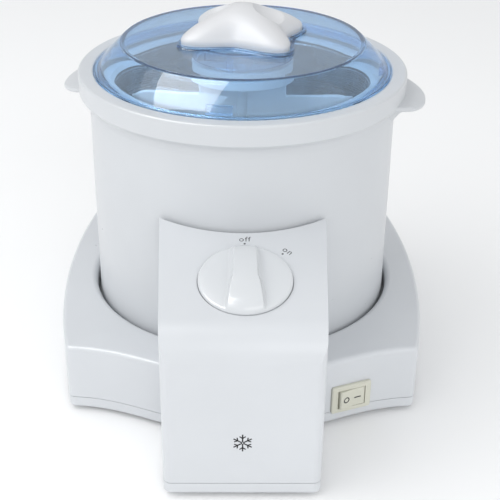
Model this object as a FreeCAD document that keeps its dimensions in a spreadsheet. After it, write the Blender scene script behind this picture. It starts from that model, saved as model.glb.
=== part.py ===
import FreeCAD, Part
import Sketcher
import math
import os

# Ice cream maker: a motor base with a round well, an outer drum that stands in
# the well, a freezer bowl that turns inside the drum, a fixed paddle hung from
# a see-through lid, and a cap over the fill opening.
#
# All shapes are drawn about the drum's upright axis and then placed so that
# the row's origin is under the middle of the whole object: the drum's axis is
# at y = axis_y.  Front is -Y, up is +Z, millimetres.

V = FreeCAD.Vector
Placement = FreeCAD.Placement
Rotation = FreeCAD.Rotation

doc = FreeCAD.newDocument("ice_cream_maker")
sheet = doc.addObject("Spreadsheet::Sheet", "dims")

DIMS = [
    # frame
    ("axis_y", 23.15), ("turn_deg", -9.0), ("paddle_deg", -4.5),
    # base
    ("seam_z", 8.3), ("base_top", 37.6), ("base_half", 94.8), ("base_rear", 95.0),
    ("base_wall", 2.4), ("cover_bottom", 2.2), ("cover_floor", 1.8), ("cover_top", 8.0),
    ("well_radius", 78.5), ("well_floor_top", 26.0), ("well_floor_under", 23.6),
    # console
    ("front_y", -143.3), ("console_half_front", 35.2), ("console_half_rear", 38.9),
    ("deck_z", 99.8), ("deck_deg", 13.9), ("knee_radius", 16.0), ("console_wall", 2.4),
    ("console_bore", 78.6),
    # dial
    ("dial_x", 1.0), ("dial_y", -108.7), ("dial_radius", 20.9), ("dial_height", 6.8), ("dial_recess", 1.5),
    # rocker
    ("rocker_x", 53.0), ("rocker_y", -87.55), ("rocker_z", 15.0), ("rocker_deg", 21.3),
    # gears
    ("module", 1.25), ("teeth_drive", 80), ("teeth_idler_b_small", 14), ("teeth_idler_b_big", 32),
    ("teeth_idler_a_small", 12), ("teeth_idler_a_big", 34), ("teeth_pinion", 12),
    ("level_low", 8.0), ("level_mid", 12.6), ("level_high", 17.2),
    # spindle
    ("spindle_radius", 4.0), ("bush_radius", 6.5),
    # drum
    ("drum_foot_z", 26.2), ("drum_radius_low", 77.0), ("drum_radius_high", 76.5),
    ("drum_wall", 2.6), ("rim_radius", 81.5), ("rim_top", 153.7), ("band_bottom", 142.8),
    ("lid_seat_z", 151.3), ("lid_seat_radius", 73.9), ("drum_mouth", 72.3), ("ear_tip", 91.3),
    # bowl
    ("bowl_radius", 71.4), ("bowl_bottom", 33.0), ("bowl_top", 148.0), ("liner_floor", 48.0),
    ("liner_radius_low", 60.8), ("liner_radius_high", 62.4), ("liner_wall", 1.2),
    # lid
    ("lid_radius", 73.4), ("lid_disc", 59.6), ("lid_top", 167.2), ("lid_edge_z", 154.0),
    ("lid_wall", 2.2), ("chute_radius", 25.4), ("chute_bore", 23.4),
    # cap
    ("cap_half_x", 26.6), ("cap_half_y", 23.2), ("cap_top", 184.6), ("cap_edge_z", 170.4),
    # paddle
    ("paddle_half", 58.6), ("wing_top", 141.2), ("paddle_thick", 3.2),
]
for i, (name, value) in enumerate(DIMS, 1):
    sheet.set("A%d" % i, name)
    sheet.set("B%d" % i, repr(float(value)))
    sheet.setAlias("B%d" % i, name)
doc.recompute()


class Q:
    """A length that knows both its number and its sheet expression."""

    def __init__(self, v, e):
        self.v = float(v)
        self.e = e

    def __add__(self, o):
        o = q(o)
        return Q(self.v + o.v, "(%s + %s)" % (self.e, o.e))

    def __radd__(self, o):
        return q(o) + self

    def __sub__(self, o):
        o = q(o)
        return Q(self.v - o.v, "(%s - %s)" % (self.e, o.e))

    def __rsub__(self, o):
        return q(o) - self

    def __mul__(self, o):
        o = q(o)
        return Q(self.v * o.v, "(%s * %s)" % (self.e, o.e))

    def __rmul__(self, o):
        return q(o) * self

    def __neg__(self):
        return Q(-self.v, "(0 - %s)" % self.e)


def q(x):
    if isinstance(x, Q):
        return x
    return Q(x, "(%.6f)" % float(x))


def D(name):
    return Q(float(sheet.get(name)), "dims.%s" % name)


def N(name):
    return float(sheet.get(name))


AY = N("axis_y")
AXIS = Placement(V(0, AY, 0), Rotation())
TURN = Placement(V(0, AY, 0), Rotation(V(0, 0, 1), N("turn_deg")))
nodes = []


# ---------------------------------------------------------------- helpers
def plane_of(body, role):
    for f in body.Origin.OriginFeatures:
        if f.Role == role:
            return f
    raise ValueError(role)


def new_body(label, placement=AXIS):
    body = doc.addObject("PartDesign::Body", label)
    body.Label = label
    body.Placement = placement
    nodes.append(body)
    return body


def new_sketch(body, name, role="XY_Plane", offset=None):
    sk = body.newObject("Sketcher::SketchObject", name)
    sk.AttachmentSupport = [(plane_of(body, role), "")]
    sk.MapMode = "FlatFace"
    if offset is not None:
        offset = q(offset)
        sk.AttachmentOffset = Placement(V(0, 0, offset.v), Rotation())
        if "dims" in offset.e:
            sk.setExpression("AttachmentOffset.Base.z", offset.e)
    return sk


def add_poly(sk, pts):
    """Closed polygon, every corner dimensioned from the sketch's origin."""
    pts = [(q(x), q(y)) for x, y in pts]
    n = len(pts)
    g0 = len(sk.Geometry)
    sk.addGeometry([Part.LineSegment(V(pts[i][0].v, pts[i][1].v, 0),
                                     V(pts[(i + 1) % n][0].v, pts[(i + 1) % n][1].v, 0))
                    for i in range(n)], False)
    cons, exprs = [], []
    c0 = len(sk.Constraints)
    for i in range(n):
        cons.append(Sketcher.Constraint("Coincident", g0 + i, 2, g0 + (i + 1) % n, 1))
    for i in range(n):
        for k, kind, ax in ((0, "DistanceX", -2), (1, "DistanceY", -1)):
            val = pts[i][k]
            if abs(val.v) < 1e-9:
                cons.append(Sketcher.Constraint("PointOnObject", g0 + i, 1, ax))
            else:
                cons.append(Sketcher.Constraint(kind, -1, 1, g0 + i, 1, val.v))
                if "dims" in val.e:
                    exprs.append((c0 + len(cons) - 1, val.e))
    sk.addConstraint(cons)
    for idx, e in exprs:
        sk.setExpression("Constraints[%d]" % idx, e)


def add_circle(sk, x, y, r):
    x, y, r = q(x), q(y), q(r)
    g = len(sk.Geometry)
    sk.addGeometry(Part.Circle(V(x.v, y.v, 0), V(0, 0, 1), r.v), False)
    c0 = len(sk.Constraints)
    cons, exprs = [Sketcher.Constraint("Radius", g, r.v)], []
    if "dims" in r.e:
        exprs.append((c0, r.e))
    for val, kind, ax in ((x, "DistanceX", -2), (y, "DistanceY", -1)):
        if abs(val.v) < 1e-9:
            cons.append(Sketcher.Constraint("PointOnObject", g, 3, ax))
        else:
            cons.append(Sketcher.Constraint(kind, -1, 1, g, 3, val.v))
            if "dims" in val.e:
                exprs.append((c0 + len(cons) - 1, val.e))
    sk.addConstraint(cons)
    for idx, e in exprs:
        sk.setExpression("Constraints[%d]" % idx, e)


def revolve(body, name, pts):
    """Revolution about Z of a closed (radius, height) polygon."""
    sk = new_sketch(body, name + "_profile", "XZ_Plane")
    add_poly(sk, pts)
    rev = body.newObject("PartDesign::Revolution", name)
    rev.Profile = sk
    rev.ReferenceAxis = (sk, ["V_Axis"])
    rev.Angle = 360.0
    sk.Visibility = False
    doc.recompute()
    return rev


def groove(body, name, pts):
    sk = new_sketch(body, name + "_profile", "XZ_Plane")
    add_poly(sk, pts)
    before = body.Shape.Volume
    g = body.newObject("PartDesign::Groove", name)
    g.Profile = sk
    g.ReferenceAxis = (sk, ["V_Axis"])
    g.Angle = 360.0
    doc.recompute()
    if body.Shape.Volume >= before - 1e-3:
        raise ValueError("groove %s cut nothing" % name)
    return g


def pad(body, name, draw, z0, length):
    sk = new_sketch(body, name + "_profile", "XY_Plane", z0)
    draw(sk)
    p = body.newObject("PartDesign::Pad", name)
    p.Profile = sk
    length = q(length)
    p.Length = length.v
    if "dims" in length.e:
        p.setExpression("Length", length.e)
    doc.recompute()
    return p


def pocket(body, name, draw, z0, length):
    """Cuts upwards from z0 by length."""
    sk = new_sketch(body, name + "_profile", "XY_Plane", z0)
    draw(sk)
    before = body.Shape.Volume
    p = body.newObject("PartDesign::Pocket", name)
    p.Profile = sk
    length = q(length)
    p.Length = length.v
    if "dims" in length.e:
        p.setExpression("Length", length.e)
    p.Reversed = True
    doc.recompute()
    if body.Shape.Volume >= before - 1e-3:
        p.Reversed = False
        doc.recompute()
    if body.Shape.Volume >= before - 1e-3:
        raise ValueError("pocket %s cut nothing" % name)
    return p


def fillet(body, name, radius, spots, tol=0.05):
    """Rounds the circular edges at the given (radius, height) spots."""
    base = body.Tip
    picks = []
    for i, e in enumerate(base.Shape.Edges, 1):
        c = e.Curve
        if not isinstance(c, Part.Circle):
            continue
        for r, z in spots:
            r, z = q(r).v, q(z).v
            if abs(c.Radius - r) < tol and abs(c.Center.z - z) < tol and \
                    math.hypot(c.Center.x, c.Center.y) < tol:
                picks.append("Edge%d" % i)
    if len(picks) < len(spots):
        raise ValueError("fillet %s found %d of %d edges" % (name, len(picks), len(spots)))
    f = body.newObject("PartDesign::Fillet", name)
    f.Base = (base, picks)
    f.Radius = radius
    doc.recompute()
    return f


def feature(label, shape, placement=AXIS):
    o = doc.addObject("Part::Feature", label)
    o.Label = label
    o.Shape = shape
    o.Placement = placement
    nodes.append(o)
    return o


def cyl(r, z0, z1, x=0.0, y=0.0):
    return Part.makeCylinder(r, z1 - z0, V(x, y, z0))


def box(x0, y0, z0, x1, y1, z1):
    return Part.makeBox(x1 - x0, y1 - y0, z1 - z0, V(x0, y0, z0))


def ring(ro, ri, z0, z1, x=0.0, y=0.0):
    return cyl(ro, z0, z1, x, y).cut(cyl(ri, z0 - 1, z1 + 1, x, y))


def spin(pts):
    """Solid of revolution about Z from closed (r, z) points."""
    w = Part.makePolygon([V(r, 0, z) for r, z in pts] + [V(pts[0][0], 0, pts[0][1])])
    return Part.Face(w).revolve(V(0, 0, 0), V(0, 0, 1), 360)


def prism(face, z0, z1):
    f = face.copy()
    f.translate(V(0, 0, z0))
    return f.extrude(V(0, 0, z1 - z0))


def spline(pts, t0=None, t1=None):
    c = Part.BSplineCurve()
    vs = [V(x, y, 0) for x, y in pts]
    if t0 is not None:
        c.interpolate(Points=vs, InitialTangent=V(t0[0], t0[1], 0), FinalTangent=V(t1[0], t1[1], 0))
    else:
        c.interpolate(Points=vs)
    return c.toShape()


def hexagon(af, z0, z1, x=0.0, y=0.0, turn=0.0):
    r = af / 2.0 / math.cos(math.pi / 6)
    pts = [V(x + r * math.cos(math.radians(60 * k + turn)), y + r * math.sin(math.radians(60 * k + turn)), 0)
           for k in range(6)]
    return prism(Part.Face(Part.makePolygon(pts + [pts[0]])), z0, z1)


def single(shape):
    """The shape as one clean solid."""
    s = shape.removeSplitter()
    if s.ShapeType == "Compound" and len(s.Solids) == 1:
        s = s.Solids[0]
    return s


def move(shape, placement):
    s = shape.copy()
    s.Placement = placement.multiply(s.Placement)
    return s


# ---------------------------------------------------------------- base plan
wall = N("base_wall")
half = N("base_half")
side_bulge = 353.0


def side_x(y):
    return half - (side_bulge - math.sqrt(side_bulge ** 2 - y * y))


def base_face(off=0.0):
    """Plan of the base, or the same plan drawn in by off all round."""
    half_front = 36.9
    right = [
        spline([(half_front, -94.1), (46.5, -90.3), (54, -87.1), (61, -84.4), (69, -82.0), (76, -80.5), (82.6, -79.7)],
               (1, 0.3), (1, 0.09)),
        spline([(82.6, -79.7), (85.2, -78.9), (side_x(-76.4), -76.4)], (1, 0.09), (0.215, 1)),
        Part.Arc(V(side_x(-76.4), -76.4, 0), V(half, 0, 0), V(side_x(64), 64, 0)).toShape(),
        spline([(side_x(64), 64), (86.4, 74.6), (80.6, 84.0), (71.4, 90.6), (60, N("base_rear") - 2.2)],
               (-0.18, 1), (-1, 0.073)),
    ]
    rear = Part.Arc(V(60, N("base_rear") - 2.2, 0), V(0, N("base_rear"), 0), V(-60, N("base_rear") - 2.2, 0)).toShape()
    if off:
        drawn = []
        for e, count in zip(right, (9, 5, 7, 7)):
            pts = []
            for k in range(count):
                u = e.FirstParameter + (e.LastParameter - e.FirstParameter) * k / (count - 1.0)
                p = e.valueAt(u)
                t = e.tangentAt(u)
                if (e.valueAt(e.LastParameter).sub(e.valueAt(e.FirstParameter))).dot(t) < 0 and count != 7:
                    t = t * -1
                pts.append((p.x - t.y * off, p.y + t.x * off))
            drawn.append(pts)
        drawn[1] = [drawn[0][-1], drawn[2][0]]
        drawn[3][0] = drawn[2][-1]
        right = [spline(p) for p in drawn if len(p) > 2]
        right.insert(1, Part.LineSegment(V(drawn[1][0][0], drawn[1][0][1], 0), V(drawn[1][1][0], drawn[1][1][1], 0)).toShape())
        half_front = drawn[0][0][0]
        a, b = drawn[-1][-1], (0, N("base_rear") - off)
        rear = Part.Arc(V(a[0], a[1], 0), V(b[0], b[1], 0), V(-a[0], a[1], 0)).toShape()
        front = [Part.LineSegment(V(-half_front, drawn[0][0][1], 0), V(half_front, drawn[0][0][1], 0)).toShape()]
    else:
        yf = -93.5
        front = [Part.LineSegment(V(-half_front, -94.1, 0), V(-half_front, yf, 0)).toShape(),
                 Part.LineSegment(V(-half_front, yf, 0), V(half_front, yf, 0)).toShape(),
                 Part.LineSegment(V(half_front, yf, 0), V(half_front, -94.1, 0)).toShape()]
    left = [e.mirror(V(0, 0, 0), V(1, 0, 0)) for e in right]
    w = Part.Wire(Part.__sortEdges__(front + right + [rear] + left))
    return Part.Face(w)


def console_plan(off=0.0, rear=-70.0, corner=3.4):
    """Plan of the console: a slightly tapered box with rounded front corners."""
    yf = N("front_y") + off
    k = (N("console_half_rear") - N("console_half_front")) / (-66.0 - N("front_y"))
    hf = N("console_half_front") + k * off - off
    hr = N("console_half_front") + k * (rear - N("front_y")) - off
    c = corner
    p = [V(-hr, rear, 0), V(-(hf + k * c), yf + c, 0), V(-(hf - c), yf, 0), V(hf - c, yf, 0),
         V(hf + k * c, yf + c, 0), V(hr, rear, 0)]
    m1 = V(-(hf - c * 0.2929), yf + c * 0.2929, 0)
    m2 = V(hf - c * 0.2929, yf + c * 0.2929, 0)
    e = [Part.LineSegment(p[0], p[1]).toShape(), Part.Arc(p[1], m1, p[2]).toShape(),
         Part.LineSegment(p[2], p[3]).toShape(), Part.Arc(p[3], m2, p[4]).toShape(),
         Part.LineSegment(p[4], p[5]).toShape(), Part.LineSegment(p[5], p[0]).toShape()]
    return Part.Face(Part.Wire(e))


slope = math.tan(math.radians(N("deck_deg")))


def deck_z(y, off=0.0):
    return N("deck_z") + slope * (y + 80.0) - off / math.cos(math.radians(N("deck_deg")))


def console_side(off=0.0, z_low=8.3, step=True):
    """Side profile of the console (y, z) as a face in the YZ plane."""
    yf = N("front_y") + off
    r = N("knee_radius") - off
    zk = deck_z(yf, off)
    half_turn = math.radians(90 - N("deck_deg")) / 2.0
    t = r * math.tan(half_turn)
    ca, sa = math.cos(math.radians(N("deck_deg"))), math.sin(math.radians(N("deck_deg")))
    a = V(0, yf, zk - t)
    b = V(0, yf + t * ca, zk + t * sa)
    centre = V(0, yf + r, zk - t)
    mid_dir = (a.sub(centre).normalize().add(b.sub(centre).normalize())).normalize()
    mid = centre.add(mid_dir.multiply(r))
    yr = -66.0
    pts = [V(0, yf, z_low), a]
    e = [Part.LineSegment(V(0, yf, z_low), a).toShape(), Part.Arc(a, mid, b).toShape(),
         Part.LineSegment(b, V(0, yr, deck_z(yr, off))).toShape()]
    if step:
        zs = N("base_top") + 0.2
        tail = [V(0, yr, deck_z(yr, off)), V(0, yr, zs), V(0, -93.8, zs), V(0, -93.8, z_low), V(0, yf, z_low)]
    else:
        tail = [V(0, yr, deck_z(yr, off)), V(0, yr, z_low), V(0, yf, z_low)]
    for i in range(len(tail) - 1):
        e.append(Part.LineSegment(tail[i], tail[i + 1]).toShape())
    return Part.Face(Part.Wire(e))


def console_block(off, z_low, step, rounding):
    plan = prism(console_plan(off, -66.0, max(3.4 - off, 0.8)), z_low, 120)
    side = console_side(off, z_low, step)
    side.translate(V(-60, 0, 0))
    body = plan.common(side.extrude(V(120, 0, 0)))
    body = single(body)
    if rounding > 0:
        # the two long top edges: deck and knee, both sides
        picks = []
        for e in body.Edges:
            bb = e.BoundBox
            mx = (bb.XMin + bb.XMax) / 2
            if abs(mx) > 33 and bb.ZMin > 60 and bb.YMax < -60 and (bb.YMax - bb.YMin) > 3 and bb.YMin < -80 and \
                    bb.ZMax > 70:
                picks.append(e)
        try:
            body = body.makeFillet(rounding, picks)
        except Exception:
            pass
    return body


rock_axis = Placement(V(N("rocker_x"), N("rocker_y"), N("rocker_z")), Rotation(V(0, 0, 1), N("rocker_deg")))
rock_world = Placement(V(N("rocker_x"), N("rocker_y") + AY, N("rocker_z")), Rotation(V(0, 0, 1), N("rocker_deg")))
# In the rocker's own frame x runs along the wing's face, -y points out of it, z is up.
rocker_cut = move(box(-9.7, -3.0, -6.65, 9.7, 16.0, 6.65).fuse(box(-10.7, -3.0, -7.8, 10.7, 0.0, 7.8)), rock_axis)

bottom_posts = [(-73.5, -64), (73.5, -64), (-66, 68), (66, 68)]
tray_posts = [(-43, -41), (43, -41), (-43, 41), (43, 41)]

# ---------------------------------------------------------------- base housing
plan = base_face()
outer = prism(plan, N("seam_z"), N("base_top"))
top_edges = [e for e in outer.Edges if e.BoundBox.ZMin > N("base_top") - 0.01 and e.BoundBox.YMin > -94.2 and
             not (abs(e.BoundBox.YMax + 93.5) < 0.7 and e.BoundBox.XLength < 80 and abs(e.BoundBox.Center.x) < 38)]
try:
    outer = outer.makeFillet(2.2, top_edges)
except Exception as err:
    print("base top rounding left out:", err)
inner_face = base_face(wall)
inner = prism(inner_face, N("seam_z") - 1, N("base_top") - wall)
well_outer = cyl(N("well_radius") + wall, N("well_floor_under"), N("base_top") - 1)
shell = outer.cut(inner)
shell = shell.fuse(well_outer.common(prism(plan, 0, 60)))
bosses = [cyl(3.6, N("seam_z"), N("base_top") - 1, x, y) for x, y in bottom_posts]
bosses += [cyl(3.4, 7.6, N("well_floor_under") + 1, x, y) for x, y in tray_posts]
bosses.append(cyl(10.5, 22.6, 30.0))
for b in bosses:
    shell = shell.fuse(b)
well_cut = cyl(N("well_radius"), N("well_floor_top"), N("base_top") + 5).cut(cyl(10.5, 20, 30.0))
# the well's mouth is a broad quarter-round lip
wr_, bt_ = N("well_radius"), N("base_top")
lip_pts = [V(wr_ + 3.6, 0, bt_ + 0.01), V(wr_ + 3.6, 0, bt_ + 3), V(wr_ - 1, 0, bt_ + 3), V(wr_ - 1, 0, bt_ - 3.4), V(wr_, 0, bt_ - 3.4)]
lip = Part.Face(Part.Wire([Part.LineSegment(lip_pts[i], lip_pts[i + 1]).toShape() for i in range(4)] + [
    Part.Arc(lip_pts[4], V(wr_ + 1.02, 0, bt_ - 0.98), lip_pts[0]).toShape()])).revolve(V(0, 0, 0), V(0, 0, 1), 360)
shell = shell.cut(well_cut).cut(lip)
shell = shell.cut(cyl(N("bush_radius"), 18, 32))
# front opening for the motor and the gear train
shell = shell.cut(box(-28, -97, 0, 28, -84, 21.5)).cut(box(-28, -97, 0, 28, -89.5, 33.0)).cut(box(-36.5, -97, 0, 36.5, -90.6, 12.0))
for x, y in bottom_posts:
    shell = shell.cut(cyl(1.55, 0, 24, x, y))
for x, y in tray_posts:
    shell = shell.cut(cyl(1.25, 0, 20, x, y))
for sx in (-1, 1):
    shell = shell.cut(Part.makeCylinder(1.6, 12, V(sx * 31.2, -97, 27), V(0, 1, 0)))
gland_z = 20.0
shell = shell.cut(box(-37.9, -97, 0, 37.9, -93.5, 60))
shell = shell.cut(rocker_cut)
shell = shell.cut(Part.makeCylinder(5.2, 12, V(0, 88, gland_z), V(0, 1, 0)))
feature("base_housing", single(shell))

# ---------------------------------------------------------------- bottom cover
z0, z1 = N("cover_bottom"), N("cover_top")


def cover_block(off, low, high):
    """Block in the outline of base and console together, drawn in by off."""
    rear = -88.0 if off else -92.0
    both = prism(base_face(off), low, high).fuse(prism(console_plan(off, rear, max(3.4 - off, 0.6)), low, high))
    return single(both)


cover = cover_block(0.0, z0, z1)
low_edges = [e for e in cover.Edges if e.BoundBox.ZMax < z0 + 0.01]
try:
    cover = cover.makeFillet(1.2, low_edges)
except Exception as err:
    print("bottom cover rounding left out:", err)
floor_z = z0 + N("cover_floor")
cover_in = cover_block(wall, floor_z, z1 + 1)
lip_ring = cover_block(wall + 0.55, z1 - 4, z1 + 2.4).cut(cover_block(wall + 1.8, z1 - 5, z1 + 5))
cover = cover.cut(cover_in).fuse(lip_ring).fuse(
    cover_block(wall - 0.5, z1 - 4, z1 - 2).cut(cover_block(wall + 1.0, z1 - 5, z1)))
foot_spots = [(-26.5, -130), (26.5, -130), (-62, 46), (62, 46)]
for x, y in bottom_posts:
    cover = cover.fuse(cyl(4.8, z0, 7.9, x, y))
for x, y in bottom_posts:
    cover = cover.cut(cyl(3.3, 0, 5.0, x, y)).cut(cyl(1.75, 0, 12, x, y))
for x, y in foot_spots:
    cover = cover.cut(cyl(7.2, 0, z0 + 0.8, x, y))
# rows of vent slots under the motor
for k in range(-3, 4):
    cover = cover.cut(box(k * 5.2 - 1.1, -125, 0, k * 5.2 + 1.1, -101, 5))
cover = cover.cut(rocker_cut)
feature("bottom_cover", single(cover))

feet = Part.makeCompound([spin([(0, 0), (6.2, 0), (6.9, 0.7), (6.9, z0 + 0.7), (0, z0 + 0.7)]).translated(V(x, y, 0))
                          for x, y in foot_spots])
feature("rubber_feet", feet)


def screw(r, head_r, head_h, length, base, direction):
    """Pan-head screw: base is the underside of the head, direction the way the thread points."""
    d = V(*direction)
    s = Part.makeCylinder(r, length, base, d)
    h = Part.makeCylinder(head_r, head_h, base, d * -1)
    s = s.fuse(h)
    c1 = Part.makeBox(head_r * 1.3, 0.7, 0.8, V(-head_r * 0.65, -0.35, -0.8))
    c2 = Part.makeBox(0.7, head_r * 1.3, 0.8, V(-0.35, -head_r * 0.65, -0.8))
    cross = c1.fuse(c2)
    cross.Placement = Placement(base.add(d * (-head_h)), Rotation(V(0, 0, -1), d)).multiply(
        Placement(V(0, 0, 0.8 - 0.7), Rotation()))
    return single(s.cut(cross))


feature("base_screws", Part.makeCompound([screw(1.5, 3.0, 1.8, 14, V(x, y, 5.0), (0, 0, 1)) for x, y in bottom_posts]))

# ---------------------------------------------------------------- console cover
zlow = N("seam_z")
blk = console_block(0.0, zlow, True, 2.4)
clear = cyl(N("console_bore"), 20, 130)
blk = blk.cut(clear)
cw = N("console_wall")
inner = console_block(cw, zlow - 2, False, 1.2)
inner = inner.cut(cyl(N("console_bore") + cw, 20, 130))
cut_low = box(-60, -93.5, 0, 60, -40, N("base_top") + 0.2)
inner = inner.cut(cut_low)
cover = blk.cut(inner)
tilt = Rotation(V(1, 0, 0), N("deck_deg"))
dial_origin = V(N("dial_x"), N("dial_y"), deck_z(N("dial_y")))
dial_frame = Placement(dial_origin, tilt)
dial_world = Placement(V(N("dial_x"), N("dial_y") + AY, deck_z(N("dial_y"))), tilt)
cover = cover.fuse(move(cyl(25.0, -5.0, -1.0), dial_frame))
cover = cover.cut(move(cyl(N("dial_radius") + 0.3, -N("dial_recess"), 4), dial_frame))
cover = cover.cut(move(cyl(9.2, -3.2, 2), dial_frame))
cover = cover.cut(move(cyl(4.7, -8, 2), dial_frame))
for sx in (-1, 1):
    boss = Part.makeCylinder(3.0, 20, V(sx * 31.2, -113.9, 27), V(0, 1, 0))
    web = box(min(sx * 31.2, sx * 34), -113.9, 25.5, max(sx * 31.2, sx * 34), -93.9, 28.5)
    cover = cover.fuse(boss).fuse(web)
    cover = cover.cut(Part.makeCylinder(1.3, 16, V(sx * 31.2, -109, 27), V(0, 1, 0)))
feature("console_cover", single(cover))
feature("console_screws", Part.makeCompound(
    [screw(1.25, 2.8, 1.6, 12, V(sx * 31.2, -91.0, 27), (0, -1, 0)) for sx in (-1, 1)]))

# ---------------------------------------------------------------- dial and rotary switch
dr, dh = N("dial_radius"), N("dial_height")
# low lobes either side of a straight grip bar that widens towards the front
lobe_pts = [(dr, 0.9), (dr - 0.35, 1.45), (dr - 1.2, 1.75), (dr * 0.7, 2.15), (dr * 0.35, 2.35), (0.0, 2.4)]
bar_pts = [(dr, 0.9), (dr - 0.5, 2.2), (dr - 1.9, 3.6), (dr * 0.76, 5.0), (dr * 0.5, 6.1), (dr * 0.25, dh - 0.13), (0.0, dh)]


def turned(pts):
    c = Part.BSplineCurve()
    c.interpolate(Points=[V(r, 0, z) for r, z in pts])
    w = [Part.LineSegment(V(0, 0, -1.1), V(dr - 0.3, 0, -1.1)).toShape(), Part.LineSegment(V(dr - 0.3, 0, -1.1), V(dr, 0, -0.7)).toShape(),
         Part.LineSegment(V(dr, 0, -0.7), V(dr, 0, pts[0][1])).toShape(), c.toShape(),
         Part.LineSegment(V(0, 0, pts[-1][1]), V(0, 0, -1.1)).toShape()]
    return Part.Face(Part.Wire(w)).revolve(V(0, 0, 0), V(0, 0, 1), 360)


def bar_wire(grow, z):
    """Plan of the grip bar: parallel at the rear, flared to the front rim."""
    side_ = [(4.9, 24.0), (4.9, 2.0), (5.2, -3.0), (6.1, -8.0), (6.9, -13.0), (7.7, -20.0), (8.1, -24.0)]
    c1, c2 = Part.BSplineCurve(), Part.BSplineCurve()
    c1.interpolate(Points=[V(x + grow, y, z) for x, y in side_])
    c2.interpolate(Points=[V(-x - grow, y, z) for x, y in reversed(side_)])
    a_, b_ = side_[0][0] + grow, side_[-1][0] + grow
    return Part.Wire([c1.toShape(), Part.LineSegment(V(b_, -24.0, z), V(-b_, -24.0, z)).toShape(), c2.toShape(),
                      Part.LineSegment(V(-a_, 24.0, z), V(a_, 24.0, z)).toShape()])


bar = turned(bar_pts).common(Part.makeLoft([bar_wire(1.9, 0.0), bar_wire(-0.3, 7.5)], True, True))
knob = single(turned(lobe_pts).fuse(bar))
knob = knob.cut(cyl(17.0, -2, 0.5))
knob = knob.fuse(cyl(5.6, -0.2, 1.0)).cut(cyl(3.03, -1, 5.0))
feature("control_dial", single(knob), dial_world)
rotary = box(-12, -12, -18.2, 12, 12, -5.2).fuse(cyl(4.5, -5.3, -0.4))
rotary = rotary.cut(cyl(3.05, -14, 3))
for k in (-1, 1):
    rotary = rotary.fuse(box(k * 6 - 2.4, -18.0, -13.4, k * 6 + 2.4, -11.7, -12.6))
feature("rotary_switch", single(rotary), dial_world)
feature("rotary_nut", hexagon(13.0, -3.15, -0.9).cut(cyl(4.52, -5, 5)), dial_world)
feature("dial_shaft", cyl(3.0, -13.5, 4.8).cut(box(2.4, -5, 1.6, 5, 5, 8)).removeSplitter(), dial_world)

# ---------------------------------------------------------------- rocker switch
def round_box(x0, z0, x1, z1, y0, y1, r):
    w = box(x0, y0, z0, x1, y1, z1)
    ed = [e for e in w.Edges if e.BoundBox.YLength > 0.5 * (y1 - y0) and e.BoundBox.XLength < 0.01 and
          e.BoundBox.ZLength < 0.01]
    return w.makeFillet(r, ed)


bez = round_box(-10.5, -7.6, 10.5, 7.6, -1.7, -0.1, 1.2)
front_edges = [e for e in bez.Edges if e.BoundBox.YMax < -1.69]
bez = bez.makeFillet(0.6, front_edges)
bez = bez.fuse(box(-9.5, -0.2, -6.45, 9.5, 12.5, 6.45))
bez = bez.cut(box(-7.4, -3, -5.2, 7.4, 10.5, 5.2))
bez = bez.cut(cyl(0.8, -6.2, 6.2, 0, 0.9))
feature("rocker_housing", single(bez), rock_world)
# rocker in its middle position, then tipped so that its right end is in
pr = [(-6.7, 4.6), (-6.9, -2.0), (-6.4, -2.55), (-3.3, -2.2), (0, -2.05), (3.3, -2.2), (6.4, -2.55), (6.9, -2.0), (6.7, 4.6)]
w = Part.makePolygon([V(x, y, -5.0) for x, y in pr] + [V(pr[0][0], pr[0][1], -5.0)])
rk = Part.Face(w).extrude(V(0, 0, 10.0))
ed = [e for e in rk.Edges if e.BoundBox.ZLength < 0.01 and e.BoundBox.YMax < -1.9]
try:
    rk = rk.makeFillet(0.35, ed)
except Exception as err:
    print("rocker rounding left out:", err)
rk = rk.cut(box(-5.6, 2.9, -4, 5.6, 7, 4))
rk = rk.cut(cyl(0.85, -6, 6, 0, 0.9))
tip = Placement(V(0, 0.9, 0), Rotation(V(0, 0, 1), 6.0)).multiply(Placement(V(0, -0.9, 0), Rotation()))
feature("rocker_key", single(rk), rock_world.multiply(tip))
feature("rocker_pin", cyl(0.8, -6.15, 6.15, 0, 0.9), rock_world)
feature("rocker_terminals", Part.makeCompound(
    [box(x - 2.4, 12.5, -0.4, x + 2.4, 19.5, 0.4).cut(Part.makeCylinder(0.8, 4, V(x, 16.5, -2), V(0, 0, 1))) for x in (-5.5, 5.5)]),
    rock_world)

# ---------------------------------------------------------------- gears
m = N("module")
ADD, DED, LASH = 0.8 * m, 1.08 * m, 0.2
ALPHA = math.radians(20)


def gear_face(teeth, first_deg, flank=4):
    """Involute spur gear outline; a tooth is centred on first_deg."""
    r = m * teeth / 2.0
    rb = r * math.cos(ALPHA)
    rt, rr = r + ADD, r - DED
    inv = math.tan(ALPHA) - ALPHA

    def half_angle(rho):
        if rho <= rb:
            f = 0.0
        else:
            a = math.acos(rb / rho)
            f = math.tan(a) - a
        return math.pi / (2 * teeth) - LASH / (2 * r) + inv - f

    lo = max(rb, rr)
    rhos = [lo + (rt - lo) * k / (flank - 1.0) for k in range(flank)]
    if rr < rb:
        rhos = [rr] + rhos
    pts = []
    for t in range(teeth):
        c = math.radians(first_deg) + 2 * math.pi * t / teeth
        for rho in rhos:
            a = c - half_angle(rho)
            pts.append(V(rho * math.cos(a), rho * math.sin(a), 0))
        for rho in reversed(rhos):
            a = c + half_angle(rho)
            pts.append(V(rho * math.cos(a), rho * math.sin(a), 0))
    return Part.Face(Part.makePolygon(pts + [pts[0]]))


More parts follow.
